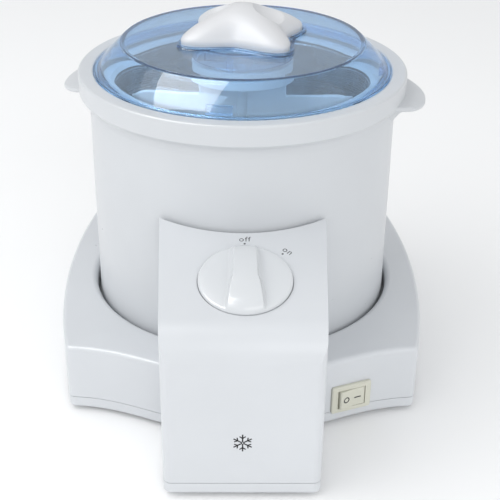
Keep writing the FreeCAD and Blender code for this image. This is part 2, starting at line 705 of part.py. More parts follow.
td, tbs, tbb = int(N("teeth_drive")), int(N("teeth_idler_b_small")), int(N("teeth_idler_b_big"))
tas, tab, tp = int(N("teeth_idler_a_small")), int(N("teeth_idler_a_big")), int(N("teeth_pinion"))
yb = -m * (td + tbs) / 2.0
ya = yb - m * (tbb + tas) / 2.0
ym = ya - m * (tab + tp) / 2.0
print("gear axes at y =", yb, ya, ym)
z_low, z_mid, z_high = N("level_low"), N("level_mid"), N("level_high")

drive = prism(gear_face(td, 270, 3), z_high, z_high + 5.0)
drive = drive.cut(ring(45.0, 14.0, z_high + 3.2, z_high + 9)).cut(ring(45.0, 14.0, z_high - 5, z_high + 1.8))
for k in range(6):
    a = math.radians(60 * k + 30)
    drive = drive.cut(cyl(8.5, z_high - 1, z_high + 9, 29.5 * math.cos(a), 29.5 * math.sin(a)))
drive = drive.fuse(cyl(9.0, 13.0, z_high + 5.0)).cut(cyl(N("spindle_radius"), 0, 60))
feature("drive_gear", single(drive))

idb = prism(gear_face(tbs, 90 + 180.0 / tbs), z_high, z_high + 5.2).fuse(
    prism(gear_face(tbb, 270), z_mid, z_mid + 4.0)).fuse(cyl(6.6, z_mid, z_high + 1))
idb = idb.cut(cyl(2.05, 0, 60))
feature("idler_gear_b", single(idb), Placement(V(0, AY + yb, 0), Rotation()))
ida = prism(gear_face(tas, 90 + 180.0 / tas), z_mid - 0.6, z_mid + 4.2).fuse(prism(gear_face(tab, 270), z_low, z_low + 4.0))
ida = ida.cut(cyl(2.05, 0, 60))
feature("idler_gear_a", single(ida), Placement(V(0, AY + ya, 0), Rotation()))
feature("idler_axle_a", cyl(2.0, 5.4, z_mid + 5.2), Placement(V(0, AY + ya, 0), Rotation()))
feature("idler_axle_b", cyl(2.0, 5.4, z_high + 5.6), Placement(V(0, AY + yb, 0), Rotation()))
pin = prism(gear_face(tp, 90 + 180.0 / tp), z_low, z_low + 4.4).cut(cyl(1.6, 0, 60))
feature("motor_pinion", single(pin), Placement(V(0, AY + ym, 0), Rotation()))

# gear tray: carries the axles, the lower end of the spindle and the motor bracket
tray = cyl(64.0, 5.4, 7.2).fuse(box(-26, ym - 22, 5.4, 26, -40, 7.2))
tray = tray.fuse(ring(8.0, 4.04, 5.4, 11.5))
tray = tray.cut(cyl(4.04, 6.2, 20))
for y in (ya, yb):
    tray = tray.fuse(cyl(4.2, 5.4, 7.8 if y == ya else 12.3, 0, y))
for y in (ya, yb):
    tray = tray.cut(cyl(2.0, 4, 30, 0, y))
for x, y in tray_posts:
    tray = tray.cut(cyl(1.5, 0, 20, x, y))
for sx in (-1, 1):
    tray = tray.cut(cyl(1.4, 0, 12, sx * 21.5, ym - 17)).cut(cyl(1.4, 0, 12, sx * 21.5, ym + 11))
tray = tray.cut(cyl(15.0, 0, 9, -38, 0)).cut(cyl(15.0, 0, 9, 38, 0)).cut(cyl(15, 0, 9, 0, 38))
feature("gear_tray", single(tray))
feature("tray_screws", Part.makeCompound([screw(1.2, 2.6, 1.2, 11, V(x, y, 5.4), (0, 0, 1)) for x, y in tray_posts]))

# ---------------------------------------------------------------- motor
brk = box(-25, ym - 21, 14.0, 25, ym + 15, 15.6)
for sx in (-1, 1):
    for y in (ym - 17, ym + 11):
        brk = brk.fuse(cyl(3.2, 7.3, 14.1, sx * 21.5, y)).cut(cyl(1.25, 0, 30, sx * 21.5, y))
brk = brk.cut(cyl(6.5, 10, 20, 0, ym))
for sx in (-1, 1):
    brk = brk.cut(cyl(1.6, 10, 20, sx * 12.5, ym))
feature("motor_bracket", single(brk))
feature("bracket_screws", Part.makeCompound(
    [screw(1.2, 2.4, 1.1, 8.0, V(sx * 21.5, y, 5.4), (0, 0, 1)) for sx in (-1, 1) for y in (ym - 17, ym + 11)]))

can = spin([(2.0, 15.7), (18.2, 15.7), (19.0, 16.5), (19.0, 56.0), (17.4, 56.0), (17.4, 18.0), (5.0, 18.0), (5.0, 21.0), (1.66, 21.0),
            (1.66, 15.7)])
for sx in (-1, 1):
    can = can.cut(cyl(1.26, 10, 17.9, sx * 12.5, 0))
feature("motor_can", single(can), Placement(V(0, AY + ym, 0), Rotation()))
feature("motor_end_cap", spin([(1.66, 52.0), (4.5, 52.0), (4.5, 56.2), (19.0, 56.2), (19.0, 57.4), (17.5, 58.6), (6.0, 58.6), (6.0, 60.5),
                               (0, 60.5), (0, 59.0), (1.66, 59.0)]), Placement(V(0, AY + ym, 0), Rotation()))
stator = ring(17.3, 13.2, 24.0, 48.0)
for k in range(6):
    a = math.radians(60 * k)
    stator = stator.cut(Part.makeBox(6, 3.0, 40, V(12.0, -1.5, 20)).rotated(V(0, 0, 0), V(0, 0, 1), 60 * k))
feature("motor_stator", single(stator), Placement(V(0, AY + ym, 0), Rotation()))
feature("motor_rotor", spin([(0, 7.6), (1.6, 7.6), (1.6, 23.0), (12.6, 23.0), (12.6, 49.0), (1.6, 49.0), (1.6, 58.6), (0, 58.6)]),
        Placement(V(0, AY + ym, 0), Rotation()))
feature("motor_screws", Part.makeCompound(
    [screw(1.25, 2.4, 1.4, 3.8, V(sx * 12.5, ym, 14.0), (0, 0, 1)) for sx in (-1, 1)]))

# ---------------------------------------------------------------- spindle group
sr = D("spindle_radius")
body = new_body("drive_spindle")
revolve(body, "shaft", [(0, 6.4), (sr, 6.4), (sr, 36.0), (sr - 0.8, 36.8), (0, 36.8)])
body = new_body("spindle_bush")
revolve(body, "bush", [(sr + 0.04, 22.9), (D("bush_radius") - 0.02, 22.9), (D("bush_radius") - 0.02, 30.1), (8.6, 30.1), (8.6, 31.1),
                       (sr + 0.04, 31.1)])
body = new_body("shaft_seal")
revolve(body, "seal", [(sr, 31.3), (6.4, 31.3), (7.6, 31.5), (5.6, 32.2), (5.6, 33.0), (sr, 33.0)])
coupling = hexagon(15.0, 33.2, 41.0, turn=0).common(spin([(0, 33.2), (9, 33.2), (9, 39.6), (7.6, 41.0), (0, 41.0)]))
coupling = coupling.cut(cyl(N("spindle_radius"), 30, 37.0))
feature("drive_coupling", single(coupling))
feature("retaining_clip", single(ring(6.4, 4.0, 11.8, 12.8).cut(box(-2.0, 0, 11, 2.0, 8, 14))))

# ---------------------------------------------------------------- outer drum
fz = N("drum_foot_z")
rl, rh, dw = N("drum_radius_low"), N("drum_radius_high"), N("drum_wall")
rim, rt_, bb_ = N("rim_radius"), N("rim_top"), N("band_bottom")


def arc3(a, b, c):
    return Part.Arc(V(a[0], 0, a[1]), V(b[0], 0, b[1]), V(c[0], 0, c[1])).toShape()


def seg(a, b):
    return Part.LineSegment(V(a[0], 0, a[1]), V(b[0], 0, b[1])).toShape()


def path(items):
    """Closed (r, z) profile from points and arcs; an arc is ('a', through, end)."""
    edges, cur = [], items[0]
    for it in items[1:]:
        if it[0] == "a":
            edges.append(arc3(cur, it[1], it[2]))
            cur = it[2]
        else:
            edges.append(seg(cur, it))
            cur = it
    if math.hypot(cur[0] - items[0][0], cur[1] - items[0][1]) > 1e-6:
        edges.append(seg(cur, items[0]))
    return Part.Face(Part.Wire(edges)).revolve(V(0, 0, 0), V(0, 0, 1), 360)


drum_profile = [
    (19.0, 28.2), (58.0, 28.2), (58.0, fz), (62.0, fz), (62.0, 28.2), (rl - 3.0, 28.2),
    ("a", (rl - 0.9, 29.1), (rl - 0.02, 31.2)),
    (rh, 136.7),
    ("a", (rh + 1.3, 141.6), (rim - 1.6, bb_ + 0.2)),
    ("a", (rim - 0.35, bb_ + 0.65), (rim, bb_ + 1.9)),
    (rim, rt_ - 1.1),
    ("a", (rim - 0.32, rt_ - 0.32), (rim - 1.1, rt_)),
    (N("lid_seat_radius") + 1.2, rt_),
    ("a", (N("lid_seat_radius") + 0.3, rt_ - 0.35), (N("lid_seat_radius"), rt_ - 1.2)),
    (N("lid_seat_radius"), N("lid_seat_z")), (N("drum_mouth"), N("lid_seat_z")), (N("drum_mouth"), 148.6),
    (rh - dw, 147.0), (rl - dw, 34.0),
    ("a", (rl - dw - 0.9, 31.7), (rl - dw - 3.0, 30.8)),
    (34.0, 30.8), (34.0, 31.2), (29.0, 31.2), (29.0, 30.8), (19.0, 30.8),
]
drum = path(drum_profile)
# grip ears: a thin lip standing out under the band, scooped beneath
et = N("ear_tip")
ear_plan = [(-23.0, 78.4), (-20.2, 79.8), (-16.4, 82.9), (-12.6, 86.7), (-8.0, 89.8), (-3.6, 91.1), (0.0, et), (3.6, 91.1), (8.0, 89.8),
            (12.6, 86.7), (16.4, 82.9), (20.2, 79.8), (23.0, 78.4)]


def ear_wire(deg, tip_r):
    """Section of an ear at one angle; it fades into the band at both ends."""
    f = (tip_r - 75.0) / (et - 75.0)
    g = (tip_r - 78.4) / (et - 78.4)
    zt = 140.8 + (1 - g) * 4.4
    top = [(75.0, 146.5), (75.0 + 6.0 * f, 145.0 + (1 - g) * 1.3), (75.0 + 11.5 * f, 143.6 + (1 - g) * 2.2), (tip_r - 0.8, zt + 1.1)]
    low = [(tip_r - 0.6, zt - 1.2)] + [(75.0 + (r - 75.0) * f, z + (1 - g) * (144.2 - z))
                                       for r, z in ((87.4, 139.3), (83.0, 137.9), (79.4, 134.9), (75.8, 129.0))]
    ct_, cl_ = Part.BSplineCurve(), Part.BSplineCurve()
    ct_.interpolate(Points=[V(r, 0, z) for r, z in top])
    cl_.interpolate(Points=[V(r, 0, z) for r, z in low])
    tip_arc = Part.Arc(V(top[-1][0], 0, top[-1][1]), V(tip_r, 0, zt), V(low[0][0], 0, low[0][1])).toShape()
    w = Part.Wire([ct_.toShape(), tip_arc, cl_.toShape(),
                   Part.LineSegment(V(low[-1][0], 0, low[-1][1]), V(75.0, 0, top[0][1])).toShape()])
    w.rotate(V(0, 0, 0), V(0, 0, 1), deg)
    return w


ear = Part.makeLoft([ear_wire(a_, r_) for a_, r_ in ear_plan], True, False)
ear = single(ear).cut(cyl(rh - 1.2, 100, 160))
ear2 = ear.copy()
ear2.rotate(V(0, 0, 0), V(0, 0, 1), 180)
drum = drum.fuse(ear).fuse(ear2)
drum = drum.cut(cyl(N("lid_seat_radius"), N("lid_seat_z"), 160))
feature("outer_drum", single(drum), TURN)

# ---------------------------------------------------------------- freezer bowl
br, bz, bt = D("bowl_radius"), D("bowl_bottom"), D("bowl_top")
lf, ll, lh, lw = D("liner_floor"), D("liner_radius_low"), D("liner_radius_high"), D("liner_wall")
body = new_body("bowl_shell")
revolve(body, "cup", [(11.6, bz), (29.2, bz), (29.2, 31.4), (33.8, 31.4), (33.8, bz), (br - 0.8, bz), (br - 0.4, bt - 7.0),
                      (br - 2.2, bt - 7.0), (br - 2.6, bz + 2.0), (11.6, bz + 2.0)])
fillet(body, "heel", 7.0, [(br - 0.8, bz)])
fillet(body, "heel_inside", 5.2, [(br - 2.6, bz + 2.0)])
body = new_body("bowl_liner")
revolve(body, "liner", [(0, lf - lw), (ll + lw, lf - lw), (lh + lw, bt - 3.0), (lh + 3.4, bt - 3.0), (lh + 3.4, bt - 1.8),
                        (lh, bt - 1.8), (ll, lf), (0, lf)])
fillet(body, "floor_inside", 12.0, [(ll, lf)])
fillet(body, "floor_outside", 13.2, [(ll + lw, lf - lw)])
fillet(body, "mouth", 1.0, [(lh, bt - 1.8)])
body = new_body("coolant_gel")
revolve(body, "gel", [(0, 44.2), (11.9, 44.2), (11.9, bz + 2.3), (br - 9.6, bz + 2.3), (br - 3.0, bz + 9.0), (br - 3.0, bt - 14.0),
                      (lh + lw + 0.4, bt - 14.0), (ll + 1.96, lf + 12.0), (ll + 1.49, lf + 8.44), (ll + 0.12, lf + 5.13),
                      (ll - 2.07, lf + 2.28), (ll - 4.91, lf + 0.09), (ll - 8.23, lf - 1.28), (ll - 11.8, lf - 1.75), (0, lf - 1.75)])
body = new_body("bowl_rim")
revolve(body, "ring", [(lh + 3.6, bt - 7.0), (br - 2.4, bt - 7.0), (br - 2.4, bt - 6.6), (br - 0.1, bt - 6.6), (br - 0.1, bt - 2.0),
                       (br - 2.0, bt), (lh + 2.6, bt), (lh + 0.6, bt - 1.0), (lh + 0.6, bt - 1.6), (lh + 3.6, bt - 1.6)])
fillet(body, "crown", 1.4, [(br - 2.0, bt), (lh + 2.6, bt)])
socket = spin([(0, 43.6), (0, 42.0), (9.6, 42.0), (9.6, 32.6), (11.2, 32.6), (11.2, 42.4), (10.0, 43.6)])
socket = socket.fuse(cyl(10.4, 32.6, 42.2).cut(hexagon(15.6, 30, 42.0, turn=0)))
feature("drive_socket", single(socket))

# ---------------------------------------------------------------- paddle
ph, wt, pt = N("paddle_half"), N("wing_top"), N("paddle_thick")
zb = N("liner_floor") + 1.6


def xz(x, z):
    return V(x, 0, z)


def half_plate(s):
    """Points of one half of the paddle's outline, centre to centre."""
    return [
        Part.LineSegment(xz(0, zb), xz(s * (ph - 14.5), zb)).toShape(),
        Part.Arc(xz(s * (ph - 14.5), zb), xz(s * (ph - 4.9), zb + 4.0), xz(s * (ph - 0.9), zb + 13.6)).toShape(),
        Part.LineSegment(xz(s * (ph - 0.9), zb + 13.6), xz(s * ph, wt - 13.0)).toShape(),
        Part.Arc(xz(s * ph, wt - 13.0), xz(s * (ph - 3.6), wt - 3.7), xz(s * (ph - 12.6), wt)).toShape(),
        Part.LineSegment(xz(s * (ph - 12.6), wt), xz(s * 22.6, wt)).toShape(),
        Part.Arc(xz(s * 22.6, wt), xz(s * 21.9, wt + 0.3), xz(s * 21.6, wt + 1.0)).toShape(),
        Part.LineSegment(xz(s * 21.6, wt + 1.0), xz(s * 21.6, 151.0)).toShape(),
        Part.LineSegment(xz(s * 21.6, 151.0), xz(0, 151.0)).toShape(),
    ]


plate = Part.Face(Part.Wire(Part.__sortEdges__(half_plate(1) + half_plate(-1))))
plate.translate(V(0, -pt / 2, 0))
plate = plate.extrude(V(0, pt, 0))
outline = [e for e in plate.Edges if e.BoundBox.YLength < 0.01 and e.BoundBox.ZMax < 150.5]
try:
    plate = plate.makeFillet(0.8, outline)
except Exception as err:
    print("paddle rounding left out:", err)
tube_ = cyl(3.0, zb, 151.0)
hub = ring(25.2, 22.8, 150.8, 155.4)
hub = hub.fuse(box(-23.6, -1.6, 150.0, 23.6, 1.6, 153.2)).fuse(cyl(5.0, 150.0, 154.4))
paddle = plate.fuse(tube_).fuse(hub)
feature("paddle", single(paddle), Placement(V(0, AY, 0), Rotation(V(0, 0, 1), N("paddle_deg"))))

# ---------------------------------------------------------------- lid
lr, ld, lt, le = N("lid_radius"), N("lid_disc"), N("lid_top"), N("lid_edge_z")
t = N("lid_wall")
lid_profile = [
    (0, lt - t), (ld - 1.6, lt - t),
    ("a", (ld + 4.7, lt - t - 4.3), (lr - 3.9, lt - t - 10.0)),
    (70.2, 153.4), (70.2, 150.0), (71.9, 150.0), (71.9, 151.6), (lr, 151.6), (lr, le - 0.5),
    ("a", (lr - 0.15, le - 0.15), (lr - 0.5, le)),
    (lr - 1.4, le),
    ("a", (ld + 7.0, lt - 6.0), (ld + 0.7, lt - 0.5)),
    ("a", (ld + 0.35, lt - 0.15), (ld - 0.2, lt)),
    (0, lt),
]
lid = path(lid_profile)
lid = lid.fuse(ring(N("chute_radius"), N("chute_bore"), 157.2, lt - 1))


def cap_outline(grow=0.0, dent=4.4):
    """Four rounded points with hollow sides, wider than deep."""
    hx, hy = N("cap_half_x") + grow, N("cap_half_y") + grow
    pts = []
    cr = 5.6 + grow
    for qx, qy in ((1, 1), (-1, 1), (-1, -1), (1, -1)):
        cx, cy = qx * (hx - cr), qy * (hy - cr)
        mid = math.degrees(math.atan2(qy, qx))
        order = (-52, 0, 52)
        for a in order:
            aa = math.radians(mid + a)
            pts.append(V(cx + cr * math.cos(aa), cy + cr * math.sin(aa), 0))
        # middle of the side that follows, going round anticlockwise
        if (qx, qy) == (1, 1):
            pts.append(V(0, hy - dent, 0))
        elif (qx, qy) == (-1, 1):
            pts.append(V(-hx + dent, 0, 0))
        elif (qx, qy) == (-1, -1):
            pts.append(V(0, -hy + dent, 0))
        else:
            pts.append(V(hx - dent, 0, 0))
    c = Part.BSplineCurve()
    c.interpolate(Points=pts, PeriodicFlag=True)
    return Part.Face(Part.Wire([c.toShape()]))


collar = prism(cap_outline(1.9), lt - 0.6, lt + 1.5).cut(prism(cap_outline(0.5), lt - 3, lt + 5))
lid = lid.fuse(collar)


def mouth(shrink, z0, z1):
    """Fill opening: the cap's outline drawn in, kept inside the round chute."""
    return prism(cap_outline(-shrink), z0, z1).common(cyl(N("chute_bore") - shrink + 1.6, z0, z1))


lid = lid.cut(mouth(1.6, lt - 4, lt + 3))
for k in range(4):
    tab_ = box(66.8, -6.0, 153.2, 70.6, 6.0, 157.4)
    lid = lid.fuse(tab_.rotated(V(0, 0, 0), V(0, 0, 1), 90 * k))


def sector(deg, wide, ro, ri, z0, z1):
    """Piece of a ring, wide across, about the direction deg."""
    return ring(ro, ri, z0, z1).common(Part.makeBox(40, wide, z1 - z0 + 4, V(0, -wide / 2.0, z0 - 2)).rotated(
        V(0, 0, 0), V(0, 0, 1), deg))


# two snap tongues that carry the paddle's hub, and a key rib
for deg in (152, 28):
    tongue = sector(deg, 8.4, 22.5, 21.0, 148.6, 160.4).fuse(sector(deg, 8.4, 24.0, 21.0, 157.4, 160.4))
    tongue = tongue.fuse(sector(deg, 8.4, 23.5, 21.0, 148.6, 150.4))
    lid = lid.fuse(tongue)
lid = lid.fuse(sector(262, 3.0, 22.4, 20.6, 151.6, 162.6)).fuse(sector(262, 3.0, 24.0, 20.6, 157.4, 162.6))
feature("lid", single(lid), TURN)

# ---------------------------------------------------------------- lid cap
ct, ce_ = N("cap_top"), N("cap_edge_z")


def cap_dome(grow, drop, low):
    """Pillow over the four-pointed outline, lofted through shrinking outlines."""
    rise = ct - ce_
    steps = [(1.0, low), (1.0, ce_ - 0.6 - drop), (0.985, ce_ + 0.35 - drop), (0.93, ce_ + 0.15 * rise - drop),
             (0.80, ce_ + 0.37 * rise - drop), (0.62, ce_ + 0.61 * rise - drop), (0.42, ce_ + 0.82 * rise - drop),
             (0.22, ce_ + 0.955 * rise - drop), (0.08, ct - drop)]
    wires = []
    for k, z in steps:
        w = cap_outline(grow).OuterWire.copy()
        mtx = FreeCAD.Matrix()
        mtx.scale(k, k, 1.0)
        w = w.transformGeometry(mtx)
        w.translate(V(0, 0, z))
        wires.append(w)
    low_block = Part.makeLoft(wires[:2], True, True)
    return low_block.fuse(Part.makeLoft(wires[1:], True, False))


cap = single(cap_dome(0.0, 0.0, lt + 0.2))
scoops = [Part.makeSphere(10.5, V(sx * 15.6, 10.0, ct + 2.1)) for sx in (-1, 1)]
for b_ in scoops:
    cap = cap.cut(b_)
cap = cap.cut(cap_dome(-1.9, 2.0, lt - 2).cut(Part.makeSphere(12.5, scoops[0].BoundBox.Center)).cut(
    Part.makeSphere(12.5, scoops[1].BoundBox.Center)))
skirt = mouth(2.05, 163.0, lt + 2.6).cut(mouth(3.75, 150, lt + 6))
cap = cap.fuse(skirt)
feature("lid_cap", single(cap), TURN)

# ---------------------------------------------------------------- wiring
gl = Part.makeCylinder(5.1, 13.4, V(0, 83.6, gland_z), V(0, 1, 0))
gl = gl.fuse(Part.makeCylinder(7.0, 2.0, V(0, 95.0, gland_z), V(0, 1, 0)))
gl = gl.fuse(Part.makeCylinder(6.4, 1.6, V(0, 92.3, gland_z), V(0, -1, 0)))
gl = gl.cut(Part.makeCylinder(3.3, 40, V(0, 70, gland_z), V(0, 1, 0)))
feature("cord_gland", single(gl))

blk = box(28, 70, 4.1, 54, 84, 14.0)
for k in range(3):
    blk = blk.cut(cyl(2.4, 8.0, 20, 33 + 8 * k, 77))
    blk = blk.cut(Part.makeCylinder(1.5, 30, V(33 + 8 * k, 65, 7.5), V(0, 1, 0)))
feature("terminal_block", single(blk))
feature("terminal_screws", Part.makeCompound(
    [cyl(2.2, 9.2, 11.4, 33 + 8 * k, 77).cut(box(33 + 8 * k - 3, 76.65, 10.8, 33 + 8 * k + 3, 77.35, 13)) for k in range(3)]))


def lead(pts, r=1.0, name="lead"):
    """Insulated lead: straight runs joined by tangent arcs."""
    P = [V(*p) for p in pts]
    edges, cur, radii = [], P[0], []
    for i in range(1, len(P) - 1):
        a, b = P[i - 1].sub(P[i]), P[i + 1].sub(P[i])
        la, lb = a.Length, b.Length
        a.normalize()
        b.normalize()
        turn = math.pi - a.getAngle(b)
        cut_len = 0.45 * min(la, lb)
        R = cut_len / math.tan(turn / 2.0)
        radii.append(round(R, 1))
        s, e = P[i].add(a * cut_len), P[i].add(b * cut_len)
        bis = a.add(b)
        bis.normalize()
        d = math.hypot(R, cut_len)
        mid = P[i].add(bis * (d - R))
        if s.sub(cur).Length > 1e-6:
            edges.append(Part.LineSegment(cur, s).toShape())
        edges.append(Part.Arc(s, mid, e).toShape())
        cur = e
    edges.append(Part.LineSegment(cur, P[-1]).toShape())
    w = Part.Wire(edges)
    t0 = P[1].sub(P[0])
    t0.normalize()
    prof = Part.Wire([Part.Circle(P[0], t0, r).toShape()])
    s = w.makePipeShell([prof], True, False)
    print(name, "arc radii", radii, "volume ratio", round(s.Volume / (math.pi * r * r * w.Length), 4))
    return s


# terminals of the rocker switch in the drum-axis frame
def rock_pt(x, y, z):
    p = rock_axis.multVec(V(x, y, z))
    return (p.x, p.y, p.z)


ra, rb_ = rock_pt(-5.5, 19.6, 0.0), rock_pt(5.5, 19.6, 0.0)
rb2 = rock_pt(5.5, 27.0, 0.0)


def dial_pt(x, y, z):
    p = dial_frame.multVec(V(x, y, z))
    return (p.x, p.y, p.z)


feature("feed_lead", lead([(49, 69.9, 7.5), (49, 60, 7.7), (58, 44, 9.2), (69, 20, 10.4), (71, -10, 11.4), (66, -38, 12.6), rb2, rb_],
                          1.0, "feed lead"))
feature("switch_lead", lead([ra, (37.0, -61.2, 15.1), (30.4, -60.0, 15.6), (26.8, -73, 18.0), (26.2, -92, 19.4), (27.6, -110, 33.0),
                             (26.5, -126, 54.0), (16.0, -134.0, 70.0), dial_pt(6, -25, -13), dial_pt(6, -18.1, -13)], 1.0, "switch lead"))
feature("motor_lead", lead([dial_pt(-6, -18.1, -13), dial_pt(-6, -25.5, -13), (-9.5, -134.4, 69.0), (-12.5, -126.0, 64.6),
                            (-12.5, -119.4, 65.0), (-12.5, -119.0, 58.8)], 1.0, "motor lead"))
feature("return_lead", lead([(33, 69.9, 7.5), (32, 66.8, 8.8), (10, 71.5, 9.2), (-25, 70, 9.2), (-56, 46, 9.6), (-71, 8, 10.0),
                             (-68, -34, 11.0), (-50, -64, 13.0), (-31, -79, 15.6), (-26.0, -93, 18.6), (-27.4, -110, 33.0),
                             (-26.4, -122, 52.0), (-20.0, -119, 65.0), (-13.0, -112.0, 65.6), (-12.5, -110.6, 58.8)], 1.0, "return lead"))

# ---------------------------------------------------------------- check and write
doc.recompute()
bad = []
for o in doc.Objects:
    if any(s in ("Invalid", "Error") for s in o.State):
        bad.append("%s %s" % (o.Label, o.State))
for o in nodes:
    s = o.Shape
    if s.isNull() or not s.isValid() or not s.Solids:
        bad.append("%s shape" % o.Label)
if bad:
    raise RuntimeError("; ".join(bad))

os.makedirs("parts", exist_ok=True)
for f in os.listdir("parts"):
    if f.endswith(".step"):
        os.remove(os.path.join("parts", f))
total = FreeCAD.BoundBox()
for o in nodes:
    shape = o.Shape
    total.add(shape.BoundBox)
    shape.exportStep("parts/%s.step" % o.Label)
    print("%-18s solids %2d faces %4d vol %9.1f  x %7.2f %7.2f  y %7.2f %7.2f  z %7.2f %7.2f" % (
        o.Label, len(shape.Solids), len(shape.Faces), shape.Volume, shape.BoundBox.XMin, shape.BoundBox.XMax,
        shape.BoundBox.YMin, shape.BoundBox.YMax, shape.BoundBox.ZMin, shape.BoundBox.ZMax))
print("nodes", len(nodes), "box", [round(v, 2) for v in (total.XMin, total.XMax, total.YMin, total.YMax, total.ZMin, total.ZMax)])
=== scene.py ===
import bpy
import bmesh
import math
import numpy as np
from mathutils import Matrix, Vector


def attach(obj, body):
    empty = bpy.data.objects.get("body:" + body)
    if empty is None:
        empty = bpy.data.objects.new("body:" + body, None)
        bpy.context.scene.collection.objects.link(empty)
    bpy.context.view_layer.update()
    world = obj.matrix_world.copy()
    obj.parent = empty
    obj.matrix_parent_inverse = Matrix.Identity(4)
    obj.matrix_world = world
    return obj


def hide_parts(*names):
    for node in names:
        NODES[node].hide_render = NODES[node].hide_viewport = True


MM = 0.001
AY = 23.15          # the drum's upright axis lies this far behind the frame's origin, in mm
TURN = -9.0         # the drum, lid and cap are turned this much

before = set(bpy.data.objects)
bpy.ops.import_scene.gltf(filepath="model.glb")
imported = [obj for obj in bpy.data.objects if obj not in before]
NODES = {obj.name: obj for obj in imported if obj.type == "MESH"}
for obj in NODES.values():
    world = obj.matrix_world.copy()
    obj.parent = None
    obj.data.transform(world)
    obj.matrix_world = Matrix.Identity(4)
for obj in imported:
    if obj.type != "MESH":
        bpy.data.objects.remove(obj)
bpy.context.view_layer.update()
scene = bpy.context.scene


# ------------------------------------------------------------------ materials
def new_mat(name):
    m = bpy.data.materials.new(name)
    m.use_nodes = True
    nt = m.node_tree
    nt.nodes.clear()
    out = nt.nodes.new("ShaderNodeOutputMaterial")
    b = nt.nodes.new("ShaderNodeBsdfPrincipled")
    nt.links.new(b.outputs[0], out.inputs[0])
    return m, nt, b, out


def coords(nt, scale=(1, 1, 1), rot=(0, 0, 0), kind="Object"):
    tc = nt.nodes.new("ShaderNodeTexCoord")
    mp = nt.nodes.new("ShaderNodeMapping")
    mp.inputs["Scale"].default_value = scale
    mp.inputs["Rotation"].default_value = rot
    nt.links.new(tc.outputs[kind], mp.inputs["Vector"])
    return mp.outputs["Vector"]


def noise(nt, vec, scale, detail=2.0, rough=0.5):
    n = nt.nodes.new("ShaderNodeTexNoise")
    n.inputs["Scale"].default_value = scale
    n.inputs["Detail"].default_value = detail
    n.inputs["Roughness"].default_value = rough
    nt.links.new(vec, n.inputs["Vector"])
    return n.outputs["Fac"]


def ramp(nt, fac, stops):
    r = nt.nodes.new("ShaderNodeValToRGB")
    els = r.color_ramp.elements
    while len(els) < len(stops):
        els.new(0.5)
    for e, (p, c) in zip(els, stops):
        e.position = p
        e.color = (c[0], c[1], c[2], 1.0) if hasattr(c, "__len__") else (c, c, c, 1.0)
    nt.links.new(fac, r.inputs["Fac"])
    return r.outputs["Color"]


def remap(nt, fac, a, b, c=0.0, d=1.0):
    m = nt.nodes.new("ShaderNodeMapRange")
    m.inputs["From Min"].default_value = c
    m.inputs["From Max"].default_value = d
    m.inputs["To Min"].default_value = a
    m.inputs["To Max"].default_value = b
    nt.links.new(fac, m.inputs["Value"])
    return m.outputs["Result"]


def math_node(nt, op, a, b):
    n = nt.nodes.new("ShaderNodeMath")
    n.operation = op
    for i, v in enumerate((a, b)):
        if isinstance(v, (int, float)):
            n.inputs[i].default_value = v
        else:
            nt.links.new(v, n.inputs[i])
    return n.outputs[0]


def mix_color(nt, fac, a, b):
    n = nt.nodes.new("ShaderNodeMix")
    n.data_type = "RGBA"
    if isinstance(fac, (int, float)):
        n.inputs[0].default_value = fac
    else:
        nt.links.new(fac, n.inputs[0])
    for sock, v in ((n.inputs[6], a), (n.inputs[7], b)):
        if hasattr(v, "__len__"):
            sock.default_value = (v[0], v[1], v[2], 1.0)
        else:
            nt.links.new(v, sock)
    return n.outputs[2]


def bump(nt, height, strength, distance, normal=None):
    b = nt.nodes.new("ShaderNodeBump")
    b.inputs["Strength"].default_value = strength
    b.inputs["Distance"].default_value = distance
    nt.links.new(height, b.inputs["Height"])
    if normal is not None:
        nt.links.new(normal, b.inputs["Normal"])
    return b.outputs["Normal"]


def plastic(name, base, rough=0.3, shade=0.965, cool=1.0, grain=0.22, grain_mm=0.45, peel=0.10, peel_mm=9.0, coat=0.0, sss=0.0,
            dust=0.5):
    """Moulded plastic: slow drift of tone, fine grain, faint flow marks and rub marks in the gloss."""
    m, nt, b, _ = new_mat(name)
    v = coords(nt)
    slow = noise(nt, v, 22.0, 3.0, 0.55)
    dark = (base[0] * shade, base[1] * shade, min(1.0, base[2] * shade * cool))
    col = ramp(nt, slow, [(0.30, dark), (0.70, base)])
    # dust specks too small to see one by one
    specks = noise(nt, v, 1600.0, 1.0, 0.4)
    fleck = remap(nt, specks, 0.0, 0.03 * dust, 0.66, 0.80)
    col = mix_color(nt, fleck, col, (base[0] * 0.72, base[1] * 0.71, base[2] * 0.69))
    nt.links.new(col, b.inputs["Base Color"])
    # handling marks: long fine streaks that only change the gloss
    streak = noise(nt, coords(nt, (60, 60, 700), (0.3, 0.2, 0.4)), 1.0, 2.0, 0.5)
    cloud = noise(nt, v, 70.0, 3.0, 0.6)
    r = math_node(nt, "ADD", remap(nt, streak, -0.008, 0.012, 0.3, 0.75), remap(nt, cloud, rough - 0.02, rough + 0.03, 0.3, 0.7))
    nt.links.new(r, b.inputs["Roughness"])
    n1 = bump(nt, noise(nt, v, 1000.0 / peel_mm, 1.0, 0.4), peel, 0.00008)
    n2 = bump(nt, noise(nt, v, 1000.0 / grain_mm, 2.0, 0.5), grain, 0.000012, n1)
    nt.links.new(n2, b.inputs["Normal"])
    b.inputs["IOR"].default_value = 1.5
    b.inputs["Coat Weight"].default_value = coat
    b.inputs["Coat Roughness"].default_value = 0.12
    if sss:
        b.inputs["Subsurface Weight"].default_value = sss
        b.inputs["Subsurface Radius"].default_value = (0.004, 0.004, 0.004)
        b.inputs["Subsurface Scale"].default_value = 0.5
    return m


